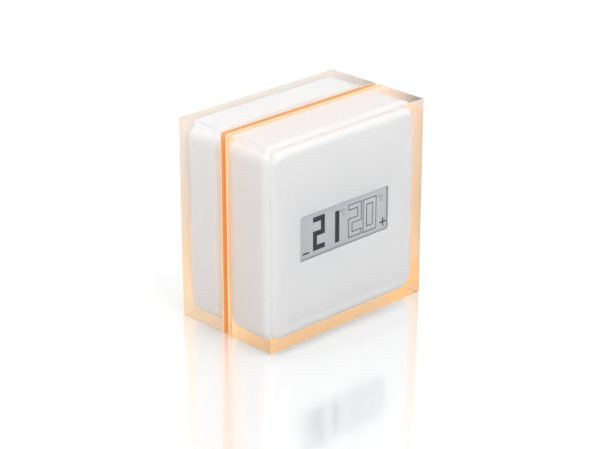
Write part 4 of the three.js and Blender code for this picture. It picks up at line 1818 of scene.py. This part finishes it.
@dataclass(frozen=True)
class FrontModule:
    """The display module's rocking cover: a clear block round a white body, and the display in its window."""

    display: Display = Display()
    lug: Lug = Lug()
    rim: float = 27.14
    face: float = 50.4
    body_face: float = 47.1
    window_wall: float = 1.1
    window_edge: float = 0.15
    recess: Point = (53.4, 23.9)
    boss_spot: float = 30.4
    boss: float = 5.0
    boss_tip: float = 44.6
    hole: float = 2.2

    def acrylic(self, bench: Bench) -> None:
        """The clear block, cast round the body, open at the back and bonded to the display.

        Args:
            bench: places the finished pieces.
        """
        arris, cavity = BLOCK.arris, BLOCK.cavity
        rings = list(reversed(turn(square(BLOCK.outside, BLOCK.corner, self.face - arris), arris, 1, 4)))
        rings += [square(BLOCK.outside, BLOCK.corner, self.rim),
                  Ring(cavity, cavity, BLOCK.body_corner - BLOCK.bond, self.rim, BLOCK.shift, -BLOCK.shift)]
        rings += hollow(self.body_face, 1, BLOCK.bond, BLOCK.shift)
        wide, high = (size + 0.1 for size in self.display.window)
        rings += [Ring(wide, high, self.display.window_corner, depth)
                  for depth in (self.body_face - BLOCK.bond, self.display.panel_face - 0.08)]
        bench.piece("front_acrylic_block", skin(rings, Ends.CAPPED), "acrylic", Body.COVER,
                    ["front_shell"])

    def white_body(self, bench: Bench) -> None:
        """The white body: an open box with rounded front edges, a window, screw bosses and pivot lugs.

        Args:
            bench: places the finished pieces.
        """
        work = bmesh.new()
        inner_face = self.body_face - BLOCK.wall
        shelf = self.body_face - self.window_wall
        corner = self.display.window_corner
        window = Ring(*self.display.window, corner, self.body_face - self.window_edge)
        rings = [square(BLOCK.body, BLOCK.body_corner, self.rim)]
        rings += hollow(self.body_face, 1)
        rings += list(reversed(turn(window, self.window_edge, 1, 3, True)))
        rings.append(Ring(*self.display.window, corner, shelf))
        rings += [Ring(*self.recess, 1.0, depth) for depth in (shelf, inner_face)]
        rings += list(reversed(hollow(self.body_face, 1, BLOCK.wall)))
        rings.append(square(BLOCK.inner, BLOCK.body_corner - BLOCK.wall, self.rim))
        add_rings(work, rings, Ends.JOINED)
        bore, boss, tip, root = self.hole / 2, self.boss / 2, self.boss_tip, inner_face + BLOCK.post_root
        profile = [(bore, tip), (boss - BLOCK.post_ease, tip), (boss, tip + BLOCK.post_ease), (boss, root),
                   (bore, root)]
        for x, y in corners(self.boss_spot):
            add_lathe(work, profile, x, y)
        for side in (-1, 1):
            self.lug.add(work, side)
        # The front body takes the finish with painted warm light on its sides and a painted glow below.
        bench.piece("front_white_body", to_mesh(work), "painted_warm", Body.COVER, ["front_body"])

    def build(self, bench: Bench) -> None:
        """Makes every piece of the cover.

        Args:
            bench: places the finished pieces.
        """
        self.acrylic(bench)
        self.white_body(bench)
        bench.dress("rim_film", "front_film")
        self.display.build(bench)
        bench.dress("foam", "display_gasket")


# ---------------------------------------- studio
@dataclass(frozen=True)
class Lamp:
    """A soft box: where it stands in metres, its width and height, its power in watts and its light."""

    name: str
    spot: Place
    size: Point
    watts: float
    colour: Colour = CLEAR

    def light(self, target: Vector) -> None:
        """Puts the lamp in the scene, turned to the target.

        Args:
            target: the point that it faces.
        """
        light = bpy.data.lights.new(self.name, "AREA")
        light.shape = "RECTANGLE"
        light.size, light.size_y = self.size
        light.energy = self.watts
        light.color = self.colour
        made = bpy.data.objects.new(self.name, light)
        made.location = self.spot
        made.rotation_euler = (target - Vector(self.spot)).to_track_quat("-Z", "Y").to_euler()
        bpy.context.scene.collection.objects.link(made)


@dataclass(frozen=True)
class Studio:
    """Plain pale floor, soft lamps and the camera."""

    lamps: tuple[Lamp, ...] = (Lamp("overhead box", (-0.1, -0.1, 1.1), (0.6, 0.6), 6.6),
                               Lamp("front box", (0.1, -0.85, 0.75), (0.6, 0.25), 5.0),
                               Lamp("left box", (-0.95, 0.05, 0.3), (0.5, 0.5), 2.1, (0.92, 0.96, 1.0)))

    floor_size: float = 8.0
    floor_height: float = -0.0415
    azimuth: float = -44.16
    elevation: float = 23.03
    distance: float = 0.7784
    lens: float = 118.6
    target: Place = (-0.00162, -0.0254, -0.00702)
    brightness: float = 0.96

    def floor(self) -> None:
        """The floor: one wide plate with a soft sheen."""
        half = self.floor_size / 2
        mesh = bpy.data.meshes.new("floor")
        spots = [(-half, -half), (half, -half), (half, half), (-half, half)]
        mesh.from_pydata([(x, y, self.floor_height) for x, y in spots], [], [(0, 1, 2, 3)])
        recipe = Recipe("pale floor")
        recipe.put("Base Color", (0.865, 0.865, 0.867))
        recipe.put("Metallic", 0.56)
        recipe.put("Roughness", recipe.span(recipe.noise(6), 0.11, 0.14))
        mesh.materials.append(recipe.material)
        made = bpy.data.objects.new("floor", mesh)
        bpy.context.scene.collection.objects.link(made)

    def sky(self) -> None:
        """Even white light from all round."""
        world = bpy.data.worlds.new("studio")
        bpy.context.scene.world = world
        world.use_nodes = True
        back = world.node_tree.nodes["Background"]
        back.inputs["Color"].default_value = (*CLEAR, 1.0)
        back.inputs["Strength"].default_value = self.brightness

    def camera(self) -> None:
        """The camera, at the viewing angle that shows the front, the left side and the top."""
        lens = bpy.data.cameras.new("camera")
        lens.lens = self.lens
        lens.sensor_width = 36.0
        lens.clip_start = 0.01
        made = bpy.data.objects.new("camera", lens)
        turned, raised = math.radians(self.azimuth), math.radians(self.elevation)
        level = math.cos(raised)
        away = Vector((math.sin(turned) * level, -math.cos(turned) * level, math.sin(raised)))
        made.location = Vector(self.target) + self.distance * away
        made.rotation_euler = (-away).to_track_quat("-Z", "Y").to_euler()
        bpy.context.scene.collection.objects.link(made)
        bpy.context.scene.camera = made

    def build(self) -> None:
        """Sets the whole studio up."""
        bpy.context.scene.view_settings.view_transform = "Standard"
        self.floor()
        self.sky()
        for lamp in self.lamps:
            lamp.light(Vector(self.target))
        self.camera()


def main() -> None:
    """Builds the thermostat's looks in order."""
    logging.basicConfig(level=logging.INFO, format="%(message)s")
    bench = Bench(Palette(Finishes()))
    Studio().build()
    for part in (WallPlate(), RearModule(), RelayBoard(), Chassis(), FrontModule(), MainBoard()):
        LOG.info("building %s", type(part).__name__)
        part.build(bench)
    for node in bench.unhandled():
        LOG.info("node %s still to dress", node)


if __name__ == "__main__":
    main()
